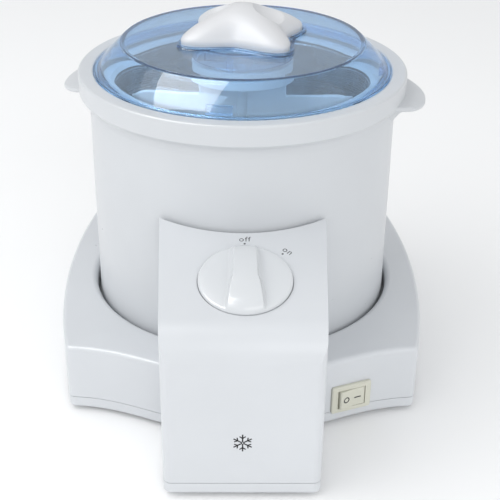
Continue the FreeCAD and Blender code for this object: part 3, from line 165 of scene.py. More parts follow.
def metal(name, base, rough=0.3, brush=(30, 30, 2500), spin=False, dark=0.8, strength=0.25, dist=0.00001, metallic=1.0):
    """Machined or drawn metal with a direction to its marks; spin puts them round the upright axis."""
    m, nt, b, _ = new_mat(name)
    if spin:
        tc = nt.nodes.new("ShaderNodeTexCoord")
        sep = nt.nodes.new("ShaderNodeSeparateXYZ")
        nt.links.new(tc.outputs["Object"], sep.inputs[0])
        y = math_node(nt, "SUBTRACT", sep.outputs[1], AY * MM)
        rr = math_node(nt, "POWER", math_node(nt, "ADD", math_node(nt, "MULTIPLY", sep.outputs[0], sep.outputs[0]),
                                              math_node(nt, "MULTIPLY", y, y)), 0.5)
        comb = nt.nodes.new("ShaderNodeCombineXYZ")
        nt.links.new(math_node(nt, "MULTIPLY", rr, 1.0), comb.inputs[0])
        nt.links.new(sep.outputs[2], comb.inputs[2])
        mp = nt.nodes.new("ShaderNodeMapping")
        mp.inputs["Scale"].default_value = (1, 1, 1)
        nt.links.new(comb.outputs[0], mp.inputs["Vector"])
        marks = noise(nt, mp.outputs["Vector"], 2600.0, 3.0, 0.6)
    else:
        marks = noise(nt, coords(nt, brush), 1.0, 3.0, 0.6)
    v = coords(nt)
    cloud = noise(nt, v, 45.0, 3.0, 0.6)
    col = ramp(nt, cloud, [(0.3, tuple(c * dark for c in base)), (0.7, base)])
    nt.links.new(col, b.inputs["Base Color"])
    b.inputs["Metallic"].default_value = metallic
    r = math_node(nt, "ADD", remap(nt, marks, -0.06, 0.08, 0.3, 0.7), remap(nt, cloud, rough - 0.04, rough + 0.06, 0.3, 0.7))
    nt.links.new(r, b.inputs["Roughness"])
    nt.links.new(bump(nt, marks, strength, dist), b.inputs["Normal"])
    return m


def rubber_mat(name, base):
    m, nt, b, _ = new_mat(name)
    v = coords(nt)
    col = ramp(nt, noise(nt, v, 160.0, 4.0, 0.6), [(0.3, tuple(c * 0.8 for c in base)), (0.7, tuple(min(1, c * 1.15) for c in base))])
    nt.links.new(col, b.inputs["Base Color"])
    nt.links.new(remap(nt, noise(nt, v, 400.0, 2.0), 0.55, 0.8, 0.3, 0.7), b.inputs["Roughness"])
    nt.links.new(bump(nt, noise(nt, v, 1500.0, 2.0), 0.5, 0.00003), b.inputs["Normal"])
    return m


def tinted(name, absorb, surface=(0.97, 0.985, 1.0), rough=0.02, clear_part=1.0):
    """Clear tinted plastic: the colour comes from the depth of material that light crosses."""
    m, nt, b, out = new_mat(name)
    v = coords(nt)
    b.inputs["Transmission Weight"].default_value = clear_part
    b.inputs["IOR"].default_value = 1.49
    tone = noise(nt, v, 30.0, 2.0, 0.5)
    col = ramp(nt, tone, [(0.3, tuple(c * 0.985 for c in surface)), (0.7, surface)])
    nt.links.new(col, b.inputs["Base Color"])
    smear = noise(nt, coords(nt, (25, 25, 180), (0.5, 0.1, 0.9)), 1.0, 4.0, 0.6)
    nt.links.new(remap(nt, smear, rough * 0.5, rough * 2.2, 0.4, 0.75), b.inputs["Roughness"])
    nt.links.new(bump(nt, noise(nt, v, 120.0, 1.0), 0.08, 0.00004), b.inputs["Normal"])
    # lamps shine through it, so that what is inside is lit
    path = nt.nodes.new("ShaderNodeLightPath")
    clear = nt.nodes.new("ShaderNodeBsdfTransparent")
    clear.inputs[0].default_value = (0.94, 0.965, 0.985, 1)
    mix = nt.nodes.new("ShaderNodeMixShader")
    nt.links.new(path.outputs["Is Shadow Ray"], mix.inputs[0])
    nt.links.new(b.outputs[0], mix.inputs[1])
    nt.links.new(clear.outputs[0], mix.inputs[2])
    nt.links.new(mix.outputs[0], out.inputs[0])
    va = nt.nodes.new("ShaderNodeVolumeAbsorption")
    top = max(absorb) / 0.92
    va.inputs["Color"].default_value = tuple(1.0 - a / top for a in absorb) + (1.0,)
    va.inputs["Density"].default_value = top
    nt.links.new(va.outputs[0], out.inputs["Volume"])
    return m


def ink(name, base, rough=0.5):
    m, nt, b, _ = new_mat(name)
    v = coords(nt)
    col = ramp(nt, noise(nt, v, 2400.0, 2.0), [(0.3, tuple(c * 0.85 for c in base)), (0.7, tuple(min(1, c * 1.2) for c in base))])
    nt.links.new(col, b.inputs["Base Color"])
    nt.links.new(remap(nt, noise(nt, v, 1500.0, 2.0), rough - 0.1, rough + 0.1), b.inputs["Roughness"])
    return m


M = {}
M["housing"] = plastic("housing_white", (0.66, 0.68, 0.705), 0.30)
M["drum"] = plastic("drum_white", (0.62, 0.64, 0.663), 0.30)
M["dial"] = plastic("dial_white", (0.68, 0.70, 0.72), 0.22, coat=0.3)
M["cap"] = plastic("cap_white", (0.665, 0.67, 0.685), 0.42, coat=0.03)
M["rim"] = plastic("rim_white", (0.655, 0.675, 0.695), 0.34)
M["paddle"] = plastic("paddle_white", (0.74, 0.76, 0.78), 0.36, sss=0.15)
M["ivory"] = plastic("ivory", (0.655, 0.65, 0.555), 0.38, grain=0.4, grain_mm=0.3)
M["liner"] = metal("liner_aluminium", (0.40, 0.45, 0.50), 0.24, spin=True, metallic=0.75)
M["gel"] = plastic("gel", (0.45, 0.62, 0.80), 0.2)
M["rubber"] = rubber_mat("rubber_grey", (0.11, 0.11, 0.115))
M["black_rubber"] = rubber_mat("rubber_black", (0.022, 0.022, 0.024))
M["steel"] = metal("steel", (0.55, 0.55, 0.56), 0.3)
M["iron"] = metal("iron_laminations", (0.30, 0.29, 0.28), 0.5, brush=(20, 20, 3200), strength=0.6, dist=0.00005)
M["brass"] = metal("brass", (0.72, 0.53, 0.24), 0.28)
M["black_plastic"] = plastic("black_plastic", (0.03, 0.03, 0.032), 0.45, grain=0.7, dust=0.2)
M["nylon"] = plastic("nylon", (0.72, 0.70, 0.62), 0.4, sss=0.1)
M["lead_brown"] = plastic("lead_brown", (0.13, 0.05, 0.025), 0.42)
M["lead_blue"] = plastic("lead_blue", (0.03, 0.09, 0.36), 0.42)
M["lid"] = tinted("lid_blue", (96.0, 46.0, 10.0), (0.78, 0.885, 0.98), clear_part=0.93)
M["ink"] = ink("print_grey", (0.07, 0.075, 0.08))
M["ink_dark"] = ink("print_dark", (0.018, 0.018, 0.02))

KEEP = {
    "base_housing": "housing", "console_cover": "housing", "bottom_cover": "housing", "outer_drum": "drum", "bowl_rim": "rim",
    "bowl_shell": "rim", "paddle": "paddle", "rocker_housing": "ivory", "rocker_key": "ivory", "bowl_liner": "liner",
    "coolant_gel": "gel", "rubber_feet": "rubber", "shaft_seal": "black_rubber", "cord_gland": "black_rubber", "motor_can": "steel",
    "motor_bracket": "steel", "motor_rotor": "steel", "motor_stator": "iron", "drive_spindle": "steel", "idler_axle_a": "steel",
    "idler_axle_b": "steel", "dial_shaft": "steel", "rocker_pin": "steel", "retaining_clip": "steel", "base_screws": "steel",
    "console_screws": "steel", "tray_screws": "steel", "bracket_screws": "steel", "motor_screws": "steel", "rotary_nut": "steel",
    "terminal_screws": "brass", "rocker_terminals": "brass", "motor_pinion": "brass", "spindle_bush": "brass",
    "motor_end_cap": "black_plastic", "rotary_switch": "black_plastic", "terminal_block": "nylon", "gear_tray": "black_plastic",
    "drive_gear": "nylon", "idler_gear_a": "nylon", "idler_gear_b": "nylon", "drive_coupling": "nylon", "drive_socket": "nylon",
    "feed_lead": "lead_brown", "switch_lead": "lead_brown", "motor_lead": "lead_brown", "return_lead": "lead_blue",
    "control_dial": "dial", "lid_cap": "cap", "lid": "lid",
}
for node, key in KEEP.items():
    ob = NODES[node]
    if not ob.material_slots:
        ob.data.materials.append(M[key])
    for s in ob.material_slots:
        s.material = M[key]


# ------------------------------------------------------------------ mesh building
def place(turn=0.0):
    return Matrix.Translation((0, AY * MM, 0)) @ Matrix.Rotation(math.radians(turn), 4, "Z")


def make(name, verts, faces, body, mat, nodes=(), matrix=None, turn=0.0, sharp=34.0, bevel=0.0, weld=1e-6):
    """A piece from vertices in mm; matrix takes metres into the row frame."""
    mx = matrix if matrix is not None else place(turn)
    me = bpy.data.meshes.new(name)
    me.from_pydata([mx @ (Vector(v) * MM) for v in verts], [], faces)
    bm = bmesh.new()
    bm.from_mesh(me)
    bmesh.ops.remove_doubles(bm, verts=bm.verts, dist=weld)
    bmesh.ops.dissolve_degenerate(bm, edges=bm.edges, dist=weld)
    bmesh.ops.recalc_face_normals(bm, faces=bm.faces)
    for f in bm.faces:
        f.smooth = True
    for e in bm.edges:
        if len(e.link_faces) == 2 and e.calc_face_angle(0.0) > math.radians(sharp):
            e.smooth = False
    bm.to_mesh(me)
    bm.free()
    ob = bpy.data.objects.new(name, me)
    scene.collection.objects.link(ob)
    me.materials.append(M[mat])
    if bevel:
        mod = ob.modifiers.new("edges", "BEVEL")
        mod.width = bevel * MM
        mod.segments = 3
        mod.limit_method = "ANGLE"
        mod.angle_limit = math.radians(sharp)
        mod.harden_normals = True
    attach(ob, body)
    if nodes:
        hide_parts(*nodes)
    return ob


def loft(rings, close=False, pole0=None, pole1=None):
    n = len(rings[0])
    verts, faces = [], []
    for r in rings:
        verts.extend(r)
    k = len(rings)
    for i in range(k if close else k - 1):
        a, b = i * n, ((i + 1) % k) * n
        for j in range(n):
            j2 = (j + 1) % n
            faces.append((a + j, a + j2, b + j2, b + j))
    if pole0 is not None:
        verts.append(pole0)
        p = len(verts) - 1
        faces += [(p, (j + 1) % n, j) for j in range(n)]
    if pole1 is not None:
        verts.append(pole1)
        p = len(verts) - 1
        a = (k - 1) * n
        faces += [(p, a + j, a + (j + 1) % n) for j in range(n)]
    return verts, faces


def polar(radius, z, n):
    """Ring of n points; radius is a number or one number per point."""
    out = []
    for j in range(n):
        t = 2 * math.pi * j / n
        r = radius[j] if hasattr(radius, "__len__") else radius
        out.append((r * math.cos(t), r * math.sin(t), z))
    return out


def arc(a, m, b, n):
    """Points after a, up to and with b, on the circle through a, m and b."""
    ax, ay, bx, by, cx, cy = a[0], a[1], m[0], m[1], b[0], b[1]
    d = 2 * (ax * (by - cy) + bx * (cy - ay) + cx * (ay - by))
    ux = ((ax ** 2 + ay ** 2) * (by - cy) + (bx ** 2 + by ** 2) * (cy - ay) + (cx ** 2 + cy ** 2) * (ay - by)) / d
    uy = ((ax ** 2 + ay ** 2) * (cx - bx) + (bx ** 2 + by ** 2) * (ax - cx) + (cx ** 2 + cy ** 2) * (bx - ax)) / d
    r = math.hypot(ax - ux, ay - uy)
    t0, tm, t1 = (math.atan2(p[1] - uy, p[0] - ux) for p in (a, m, b))
    span = (t1 - t0) % (2 * math.pi)
    if (tm - t0) % (2 * math.pi) > span:
        span -= 2 * math.pi
    return [(ux + r * math.cos(t0 + span * k / n), uy + r * math.sin(t0 + span * k / n)) for k in range(1, n + 1)]


def trace(items, n=10):
    """(r, z) points of a profile; an item ('a', through, end) is an arc from the last point."""
    pts = [items[0]]
    for it in items[1:]:
        if it[0] == "a":
            pts += arc(pts[-1], it[1], it[2], n)
        else:
            pts.append(it)
    return pts


def smooth_min(a, b, k):
    h = max(0.0, min(1.0, 0.5 + 0.5 * (b - a) / k))
    return b * (1 - h) + a * h - k * h * (1 - h)


def periodic(pts, n):
    """n points on the smooth closed curve through pts."""
    p = np.array(pts, float)
    m = len(p)
    h = np.linalg.norm(np.roll(p, -1, 0) - p, axis=1)
    A = np.zeros((m, m))
    rhs = np.zeros((m, 2))
    for i in range(m):
        a, b = h[i - 1], h[i]
        A[i, (i - 1) % m] += a
        A[i, i] += 2 * (a + b)
        A[i, (i + 1) % m] += b
        rhs[i] = 6 * ((p[(i + 1) % m] - p[i]) / b - (p[i] - p[i - 1]) / a)
    mm = np.linalg.solve(A, rhs)
    total = np.concatenate([[0], np.cumsum(h)])
    out = []
    for s in np.linspace(0, total[-1], n, endpoint=False):
        i = min(int(np.searchsorted(total, s, side="right") - 1), m - 1)
        j = (i + 1) % m
        a = (total[i + 1] - s) / h[i]
        b = 1 - a
        out.append(a * p[i] + b * p[j] + ((a ** 3 - a) * mm[i] + (b ** 3 - b) * mm[j]) * h[i] ** 2 / 6)
    return np.array(out)


# ------------------------------------------------------------------ lobed outline of cap and opening
CAP_X, CAP_Y, CAP_TOP, CAP_EDGE = 26.6, 23.2, 184.6, 170.4


CAP_TURN = math.radians(-4.0)


def outline_radius(grow, n, dent=4.4):
    hx, hy = CAP_X + grow, CAP_Y + grow
    cr = 5.6 + grow
    pts = []
    for qx, qy in ((1, 1), (-1, 1), (-1, -1), (1, -1)):
        cx, cy = qx * (hx - cr), qy * (hy - cr)
        mid = math.degrees(math.atan2(qy, qx))
        for a in (-52, 0, 52):
            aa = math.radians(mid + a)
            pts.append((cx + cr * math.cos(aa), cy + cr * math.sin(aa)))
        pts.append({(1, 1): (0, hy - dent), (-1, 1): (-hx + dent, 0), (-1, -1): (0, -hy + dent), (1, -1): (hx - dent, 0)}[(qx, qy)])
    c = periodic(pts, 2400)
    ang = np.mod(np.arctan2(c[:, 1], c[:, 0]), 2 * math.pi)
    rad = np.hypot(c[:, 0], c[:, 1])
    o = np.argsort(ang)
    return np.interp(np.arange(n) * 2 * math.pi / n - CAP_TURN, ang[o], rad[o], period=2 * math.pi)


# ------------------------------------------------------------------ lid
N = 288
LT, LW, LD, LR, LE = 167.2, 2.2, 59.6, 73.4, 154.0
open_r = np.minimum(outline_radius(-1.6, N), 23.2)
c0, c1 = outline_radius(0.5, N), outline_radius(1.9, N)
rings = [polar(open_r, LT - LW, N), polar(open_r, LT, N), polar(c0, LT, N), polar(c0, LT + 1.2, N), polar(c0 + 0.2, LT + 1.45, N),
         polar((c0 + c1) / 2, LT + 1.5, N), polar(c1 - 0.2, LT + 1.4, N), polar(c1, LT + 1.15, N), polar(c1 + 0.02, LT + 0.35, N),
         polar(c1 + 0.35, LT, N)]
for u in (0.33, 0.66, 1.0):
    rings.append(polar((c1 + 0.35) * (1 - u) + 50.0 * u, LT, N))
skirt = trace([(55.0, LT), (LD - 0.25, LT), ("a", (LD, LT - 0.08), (LD + 0.1, LT - 0.25)), (LD + 0.2, LT - 0.75), (LD + 0.9, LT - 0.85),
               ("a", (LD + 6.9, LT - 6.4), (LR - 1.4, LE)), (LR - 0.5, LE), ("a", (LR - 0.15, LE - 0.15), (LR, LE - 0.5)),
               (LR, 151.6), (71.9, 151.6), (71.9, 150.0), (70.2, 150.0), (70.2, 153.4), (LR - 3.9, LT - LW - 10.0),
               ("a", (LD + 4.6, LT - LW - 4.6), (LD - 1.6, LT - LW)), (50.0, LT - LW), (38.0, LT - LW), (26.2, LT - LW),
               ("a", (25.6, LT - LW - 0.25), (25.4, LT - LW - 0.8)), (25.4, 157.6), ("a", (25.25, 157.3), (24.9, 157.2)), (23.8, 157.2),
               ("a", (23.5, 157.3), (23.4, 157.6)), (23.4, LT - LW)], 14)
rings += [polar(r, z, N) for r, z in skirt]
v, f = loft(rings, close=True)
lid = make("lid_shell", v, f, "lid", "lid", ("lid",), turn=TURN, sharp=28.0)


def tongue(name, deg, half, r0, r1, z0, z1, round_r, barb=0.0, body="lid", mat="lid"):
    """Tongue hanging from the chute: outline rounded at its lower end, bent round the axis."""
    prof = []
    k = 8
    for i in range(k + 1):
        t = math.pi / 2 * i / k
        prof.append((-half + round_r - round_r * math.cos(t), z0 + round_r - round_r * math.sin(t)))
    for i in range(k + 1):
        t = math.pi / 2 * i / k
        prof.append((half - round_r + round_r * math.sin(t), z0 + round_r - round_r * math.cos(t)))
    prof += [(half, z1), (-half, z1)]
    verts, faces = [], []
    n = len(prof)
    for r in (r0, r1):
        for x, z in prof:
            a = math.radians(deg) + x / ((r0 + r1) / 2)
            rr = r + (barb * max(0.0, 1 - abs(z - z0 - 1.2) / 1.2) if r == r1 else 0.0)
            verts.append((rr * math.cos(a), rr * math.sin(a), z))
    faces.append(tuple(range(n)))
    faces.append(tuple(range(2 * n - 1, n - 1, -1)))
    for i in range(n):
        j = (i + 1) % n
        faces.append((i, j, n + j, n + i))
    return make(name, verts, faces, body, mat, turn=TURN, sharp=40.0, bevel=0.25)


for nm, deg in (("lid_tongue_left", 152.0), ("lid_tongue_right", 28.0)):
    tongue(nm, deg, 4.2, 21.0, 22.5, 148.6, 157.9, 3.4)
tongue("lid_key_rib", 262.0, 1.5, 20.6, 22.4, 151.6, 162.6, 0.7)

# locking tabs under the lid's edge
for i in range(4):
    a0 = 90.0 * i
    pv = []
    for r, z in ((66.9, 153.3), (70.0, 153.3), (69.4, 156.0), (68.2, 157.3), (66.9, 157.3)):
        for s in range(9):
            aa = math.radians(a0) + (s / 8.0 - 0.5) * 12.0 / 68.5
            pv.append((r * math.cos(aa), r * math.sin(aa), z))
    fc = []
    for a in range(5):
        b = (a + 1) % 5
        for s in range(8):
            fc.append((a * 9 + s, a * 9 + s + 1, b * 9 + s + 1, b * 9 + s))
    fc.append(tuple(a * 9 for a in range(5)))
    fc.append(tuple(a * 9 + 8 for a in reversed(range(5))))
    make("lid_tab_%d" % (i + 1), pv, fc, "lid", "lid", turn=TURN, bevel=0.2)

# ------------------------------------------------------------------ filler cap
edge = outline_radius(0.0, N)
KU = [0.0, 0.10, 0.22, 0.42, 0.62, 0.80, 0.93, 0.985, 1.0]
KF = [1.0, 0.992, 0.955, 0.835, 0.635, 0.395, 0.175, 0.062, 0.0]


def dome(u):
    return float(np.interp(u, fine_u, fine_f))


def hermite(xs, ys, n):
    """Smooth monotone curve through the points, as a fine table."""
    xs, ys = np.array(xs), np.array(ys)
    d = np.diff(ys) / np.diff(xs)
    m = np.zeros(len(xs))
    for i in range(1, len(xs) - 1):
        if d[i - 1] * d[i] > 0:
            w1, w2 = 2 * (xs[i + 1] - xs[i]) + (xs[i] - xs[i - 1]), (xs[i + 1] - xs[i]) + 2 * (xs[i] - xs[i - 1])
            m[i] = (w1 + w2) / (w1 / d[i - 1] + w2 / d[i])
    m[-1] = d[-1]
    X = np.linspace(xs[0], xs[-1], n)
    Y = []
    for x in X:
        i = min(max(int(np.searchsorted(xs, x, side="right") - 1), 0), len(xs) - 2)
        h = xs[i + 1] - xs[i]
        t = (x - xs[i]) / h
        Y.append((2 * t ** 3 - 3 * t ** 2 + 1) * ys[i] + (t ** 3 - 2 * t ** 2 + t) * h * m[i] + (-2 * t ** 3 + 3 * t ** 2) * ys[i + 1] +
                 (t ** 3 - t ** 2) * h * m[i + 1])
    return X, np.array(Y)


fine_u, fine_f = hermite(KU, KF, 600)


def cap_z(x, y, u):
    z = CAP_EDGE + (CAP_TOP - CAP_EDGE) * dome(u)
    for sx in (-1, 1):
        cx = sx * 17.2 * math.cos(CAP_TURN) - 2.6 * math.sin(CAP_TURN)
        cy = sx * 17.2 * math.sin(CAP_TURN) + 2.6 * math.cos(CAP_TURN)
        cz, R = 188.7, 13.4
        d2 = (x - cx) ** 2 + (y - cy) ** 2
        if d2 < R * R:
            z = smooth_min(z, cz - math.sqrt(R * R - d2), 0.15)
    return z


soft_edge = np.hypot(23.6 * np.cos(np.arange(N) * 2 * math.pi / N), 21.2 * np.sin(np.arange(N) * 2 * math.pi / N))
rings = []
us = [1.0, 0.996, 0.99, 0.98, 0.965] + list(np.linspace(0.945, 0.03, 62))
for u in reversed(us):
    ring_pts = []
    w_ = min(1.0, max(0.0, (u - 0.25) / 0.72))
    w_ = w_ * w_ * (3 - 2 * w_)
    for j in range(N):
        t = 2 * math.pi * j / N
        reach = edge[j] * w_ + soft_edge[j] * (1 - w_)
        x, y = u * reach * math.cos(t), u * reach * math.sin(t)
        ring_pts.append((x, y, cap_z(x, y, u)))
    rings.append(ring_pts)
m1, m2 = np.minimum(outline_radius(-2.05, N), 22.9), np.minimum(outline_radius(-3.75, N), 21.2)
rings += [polar(edge, CAP_EDGE - 0.6, N), polar(edge, LT + 0.5, N), polar(edge - 0.25, LT + 0.25, N), polar(m1, LT + 0.25, N),
          polar(m1, 163.3, N), polar(m1 - 0.3, 163.0, N), polar(m2 + 0.3, 163.0, N), polar(m2, 163.3, N), polar(m2, 169.2, N),
          polar(m2 * 0.93, 170.6, N), polar(m2 * 0.5, 174.2, N)]
v, f = loft(rings, pole0=(0, 0, cap_z(0, 0, 0)), pole1=(0, 0, 174.8))
make("filler_cap", v, f, "cap", "cap", ("lid_cap",), turn=TURN, sharp=50.0)

# ------------------------------------------------------------------ dial
DECK = math.radians(13.9)
DIAL_Y = -108.7
DIAL_Z = 99.8 + math.tan(DECK) * (DIAL_Y + 80.0)
dial_mx = Matrix.Translation((1.0 * MM, (DIAL_Y + AY) * MM, DIAL_Z * MM)) @ Matrix.Rotation(DECK, 4, "X")
DR, DH = 20.9, 6.8
LOBE = hermite([0.0, 7.5, 15.0, 19.7, 20.55, 20.9], [2.4, 2.35, 2.15, 1.75, 1.45, 0.9], 400)
BAR = hermite([0.0, 5.3, 10.5, 15.9, 19.0, 20.4, 20.9], [6.8, 6.67, 6.1, 5.0, 3.6, 2.2, 0.9], 400)
SIDE_Y = [-24.0, -20.0, -13.0, -10.0, -6.3, -2.0, 2.0, 24.0]
SIDE_X = [8.2, 7.8, 7.0, 6.6, 6.0, 5.1, 4.9, 4.9]
WIDE_X = [1.0, 1.2, 1.9, 2.3, 2.7, 3.1, 3.3, 3.3]


def dial_z(x, y):
    """Lobes of the knob either side of the grip bar, with a hollow wall up to the bar's crisp edge."""
    r = min(math.hypot(x, y), DR)
    lobe = float(np.interp(r, LOBE[0], LOBE[1]))
    top = max(lobe, float(np.interp(r, BAR[0], BAR[1])))
    side, wide = float(np.interp(y, SIDE_Y, SIDE_X)), float(np.interp(y, SIDE_Y, WIDE_X))
    t = (side + wide - abs(x)) / wide
    if t <= 0:
        return lobe
    wall = lobe + (top - lobe) * 1.12 * t ** 2.0
    return smooth_min(top, wall, min(0.4, 0.3 * (top - lobe) + 0.001))


ND = 360
rings = []
for r in list(np.linspace(0.2, 19.7, 112)) + [19.95, 20.2, 20.4, 20.55, 20.65, 20.75, 20.83, 20.88, 20.9]:
    rings.append([(r * math.cos(2 * math.pi * j / ND), r * math.sin(2 * math.pi * j / ND),
                   dial_z(r * math.cos(2 * math.pi * j / ND), r * math.sin(2 * math.pi * j / ND))) for j in range(ND)])
for r, z in ((DR, -0.7), (DR - 0.3, -1.05), (17.2, -1.05), (17.0, -0.8), (17.0, 0.4), (6.0, 0.4), (5.6, -0.2), (3.3, -0.2)):
    rings.append(polar(r, z, ND))
v, f = loft(rings, pole0=(0, 0, dial_z(0, 0)), pole1=(0, 0, -0.2))
make("dial_knob", v, f, "dial", "dial", ("control_dial",), matrix=dial_mx, sharp=42.0)


# ------------------------------------------------------------------ printed marks
def text_mesh(name, text, size, centre, turn_deg, mx, body, mat, spacing=1.15, thick=0.03):
    cu = bpy.data.curves.new(name + "_curve", "FONT")
    cu.body = text
    cu.size = size * MM
    cu.space_character = spacing
    cu.align_x = "CENTER"
    cu.align_y = "CENTER"
    cu.extrude = thick * MM / 2
    cu.resolution_u = 6
    tmp = bpy.data.objects.new(name + "_tmp", cu)
    scene.collection.objects.link(tmp)
    bpy.context.view_layer.update()
    dg = bpy.context.evaluated_depsgraph_get()
    me = bpy.data.meshes.new_from_object(tmp.evaluated_get(dg))
    bpy.data.objects.remove(tmp)
    bpy.data.curves.remove(cu)
    me.name = name
    loc = mx @ Matrix.Translation((centre[0] * MM, centre[1] * MM, centre[2] * MM)) @ Matrix.Rotation(math.radians(turn_deg), 4, "Z")
    me.transform(loc)
    me.materials.clear()
    me.materials.append(M[mat])
    ob = bpy.data.objects.new(name, me)
    scene.collection.objects.link(ob)
    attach(ob, body)
    return ob


def disc(name, r, centre, mx, body, mat, n=32, thick=0.03, inner=0.0):
    vs, fs = [], []
    for z in (0.0, thick):
        for j in range(n):
            t = 2 * math.pi * j / n
            vs.append((centre[0] + r * math.cos(t), centre[1] + r * math.sin(t), centre[2] + z))
    fs.append(tuple(range(n - 1, -1, -1)))
    fs.append(tuple(range(n, 2 * n)))
    for j in range(n):
        k = (j + 1) % n
        fs.append((j, k, n + k, n + j))
    return make(name, vs, fs, body, mat, matrix=mx)


text_mesh("mark_off", "off", 4.4, (-0.2, 26.7, 0.03), 0, dial_mx, "base", "ink")
disc("mark_off_dot", 0.5, (-0.2, 23.8, 0.01), dial_mx, "base", "ink")
text_mesh("mark_on", "on", 4.5, (19.1, 18.9, 0.03), -42, dial_mx, "base", "ink")
disc("mark_on_dot", 0.5, (16.8, 17.1, 0.01), dial_mx, "base", "ink")

# marks on the rocker, laid on its curved face
ROCK = (Matrix.Translation((53.0 * MM, (-87.55 + AY) * MM, 15.0 * MM)) @ Matrix.Rotation(math.radians(21.3), 4, "Z") @
        Matrix.Translation((0, 0.9 * MM, 0)) @ Matrix.Rotation(math.radians(6.0), 4, "Z") @ Matrix.Translation((0, -0.9 * MM, 0)))
FX = [-6.9, -6.4, -3.3, 0.0, 3.3, 6.4, 6.9]
FY = [-2.0, -2.55, -2.2, -2.05, -2.2, -2.55, -2.0]


def strip(name, pts, width, body, mat, lift=0.03, closed=False):
    """Printed line of a given width along points (x, z) on the rocker's face."""
    n = len(pts)
    vs, fs = [], []
    for i, (x, z) in enumerate(pts):
        if closed:
            p, q = pts[i - 1], pts[(i + 1) % n]
        else:
            p, q = pts[max(0, i - 1)], pts[min(n - 1, i + 1)]
        tx, tz = q[0] - p[0], q[1] - p[1]
        length = math.hypot(tx, tz)
        nx, nz = -tz / length, tx / length
        for s in (-0.5, 0.5):
            for out_ in (0.01, lift):
                xx, zz = x + nx * width * s, z + nz * width * s
                vs.append((xx, float(np.interp(xx, FX, FY)) - out_, zz))
    for i in range(n if closed else n - 1):
        a_, b_ = 4 * i, 4 * ((i + 1) % n)
        for p, q in ((0, 1), (1, 3), (3, 2), (2, 0)):
            fs.append((a_ + p, a_ + q, b_ + q, b_ + p))
    if not closed:
        fs += [(0, 2, 3, 1), (4 * n - 4, 4 * n - 3, 4 * n - 1, 4 * n - 2)]
    return make(name, vs, fs, body, mat, matrix=ROCK)


strip("mark_ring", [(-3.5 + 1.4 * math.cos(2 * math.pi * j / 40), -0.2 + 1.4 * math.sin(2 * math.pi * j / 40)) for j in range(40)],
      0.60, "rocker", "ink_dark", closed=True)
strip("mark_dash", [(1.0 + 3.5 * j / 12.0, -0.2) for j in range(13)], 0.68, "rocker", "ink_dark")

# dark sealing bead where the liner's edge meets the bowl's rim
LH, BT = 62.4, 148.0
bead = trace([(LH + 0.15, BT - 1.72), (LH + 0.15, BT - 1.35), ("a", (LH + 0.55, BT - 1.05), (LH + 1.0, BT - 1.0)), (LH + 1.0, BT - 1.72)], 6)
v, f = loft([polar(r, z, 240) for r, z in bead], close=True)
make("liner_bead", v, f, "bowl", "black_rubber")

# plain frost star on the console's front, a printed pictogram
front_mx = Matrix.Translation((0, (-143.3 + AY) * MM, 31.0 * MM)) @ Matrix.Rotation(math.radians(90), 4, "X")
sv, sf = [], []


def bar(x0, y0, x1, y1, w):
    dx, dy = x1 - x0, y1 - y0
    L = math.hypot(dx, dy)
    nx, ny = -dy / L * w / 2, dx / L * w / 2
    b0 = len(sv)
    for z in (0.01, 0.04):
        sv.extend([(x0 + nx, y0 + ny, z), (x0 - nx, y0 - ny, z), (x1 - nx, y1 - ny, z), (x1 + nx, y1 + ny, z)])
    sf.extend([(b0, b0 + 1, b0 + 2, b0 + 3), (b0 + 7, b0 + 6, b0 + 5, b0 + 4), (b0, b0 + 4, b0 + 5, b0 + 1),
               (b0 + 1, b0 + 5, b0 + 6, b0 + 2), (b0 + 2, b0 + 6, b0 + 7, b0 + 3), (b0 + 3, b0 + 7, b0 + 4, b0)])


for k in range(6):
    t = math.radians(60 * k + 30)
    c_, s_ = math.cos(t), math.sin(t)
    bar(0.35 * c_, 0.35 * s_, 4.6 * c_, 4.6 * s_, 0.62)
    for sg in (-1, 1):
        t2 = t + sg * math.radians(52)
        bar(2.5 * c_, 2.5 * s_, 2.5 * c_ + 1.7 * math.cos(t2), 2.5 * s_ + 1.7 * math.sin(t2), 0.55)
make("mark_frost", sv, sf, "base", "ink_dark", matrix=front_mx, weld=1e-9)

# ------------------------------------------------------------------ floor, light, camera
m, nt, b, _ = new_mat("floor_paper")
vv = coords(nt)
nt.links.new(ramp(nt, noise(nt, vv, 3.0, 2.0), [(0.3, (0.95, 0.95, 0.95)), (0.7, (0.965, 0.965, 0.965))]), b.inputs["Base Color"])
b.inputs["Roughness"].default_value = 0.85
nt.links.new(bump(nt, noise(nt, vv, 900.0, 2.0), 0.1, 0.0001), b.inputs["Normal"])
me = bpy.data.meshes.new("floor")
me.from_pydata([(-4, -4, 0), (4, -4, 0), (4, 4, 0), (-4, 4, 0)], [], [(0, 1, 2, 3)])
me.materials.append(m)
floor = bpy.data.objects.new("floor", me)
scene.collection.objects.link(floor)

w = bpy.data.worlds.new("studio")
w.use_nodes = True
w.node_tree.nodes["Background"].inputs[0].default_value = (0.97, 0.985, 1.0, 1)
w.node_tree.nodes["Background"].inputs[1].default_value = 0.70
scene.world = w
scene.view_settings.view_transform = "Standard"


def softbox(name, loc, target, sx, sy, radiance, color=(1, 1, 1)):
    l = bpy.data.lights.new(name, "AREA")
    l.shape = "RECTANGLE"
    l.size, l.size_y = sx, sy
    l.energy = radiance * math.pi * sx * sy
    l.color = color
    o = bpy.data.objects.new(name, l)
    o.location = loc
    d = Vector(target) - Vector(loc)
    o.rotation_euler = d.to_track_quat("-Z", "Y").to_euler()
    scene.collection.objects.link(o)
    return o


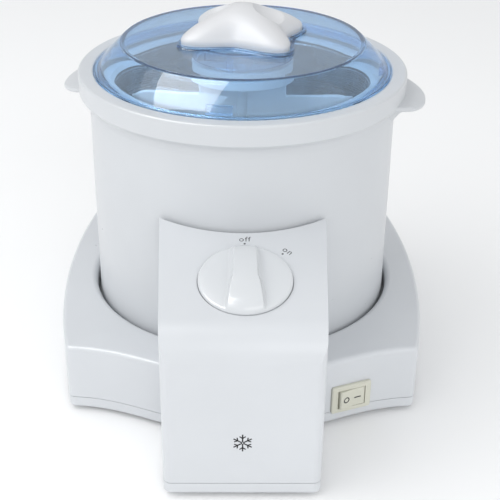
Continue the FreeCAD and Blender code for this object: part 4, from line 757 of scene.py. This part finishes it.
mid = (0.0, 0.0, 0.10)
softbox("fill_front", (0.55, -1.4, 0.75), mid, 1.2, 0.9, 1.9)
softbox("rim_right", (1.15, -0.15, 0.85), mid, 0.6, 0.9, 0.4)
# bright panel up on the left, seen as the hard-edged patch on the lid's cone
key_out = Vector((-0.516, -0.178, 0.838)).normalized()
key_u = Vector((0, 0, 1)).cross(key_out).normalized()
key_v = key_out.cross(key_u)
key_x, key_y = key_u * 0.628 - key_v * 0.778, key_u * 0.797 + key_v * 0.604
key = softbox("key_panel", (0, 0, 0), (0, 0, -1), 0.60, 0.74, 6.5)
key.matrix_world = Matrix.Translation((-0.541, -0.215, 0.999)) @ Matrix((key_x, key_y, key_out)).transposed().to_4x4()
key.visible_diffuse = False
# long overhead sail of light on the left, narrower at its far end, made of three panels in one plane
out_dir = Vector((-0.57, -0.25, 0.78)).normalized()
near_mid, far_mid = Vector((-0.94, -0.83, 0.52)), Vector((-0.366, 0.725, 1.44))
along = (far_mid - near_mid).normalized()
along = (along - out_dir * along.dot(out_dir)).normalized()
across = along.cross(out_dir)
span = (far_mid - near_mid).length
for i, wide in enumerate((1.16, 0.87, 0.58)):
    l = bpy.data.lights.new("sail_%d" % (i + 1), "AREA")
    l.shape = "RECTANGLE"
    l.size, l.size_y = wide, span / 3
    l.energy = 1.3 * math.pi * wide * span / 3
    o = bpy.data.objects.new("sail_%d" % (i + 1), l)
    rot = Matrix((across, along, out_dir)).transposed().to_4x4()
    o.matrix_world = Matrix.Translation(near_mid + along * span * (i + 0.5) / 3) @ rot
    scene.collection.objects.link(o)

cam = bpy.data.cameras.new("camera")
cam.lens = 75.6
cam.sensor_width = 36.0
cam.shift_x = 0.017
cam.clip_start = 0.01
co = bpy.data.objects.new("camera", cam)
orbit = Matrix.Translation((0, AY * MM, 0)) @ Matrix.Rotation(math.radians(-0.4), 4, "Z") @ Matrix.Translation((0, -AY * MM, 0))
co.matrix_world = (orbit @ Matrix.Translation((0.0, -0.47985, 0.3256)) @ Matrix.Rotation(math.radians(61.1), 4, "X") @
                   Matrix.Rotation(math.radians(0.35), 4, "Z"))
scene.collection.objects.link(co)
scene.camera = co
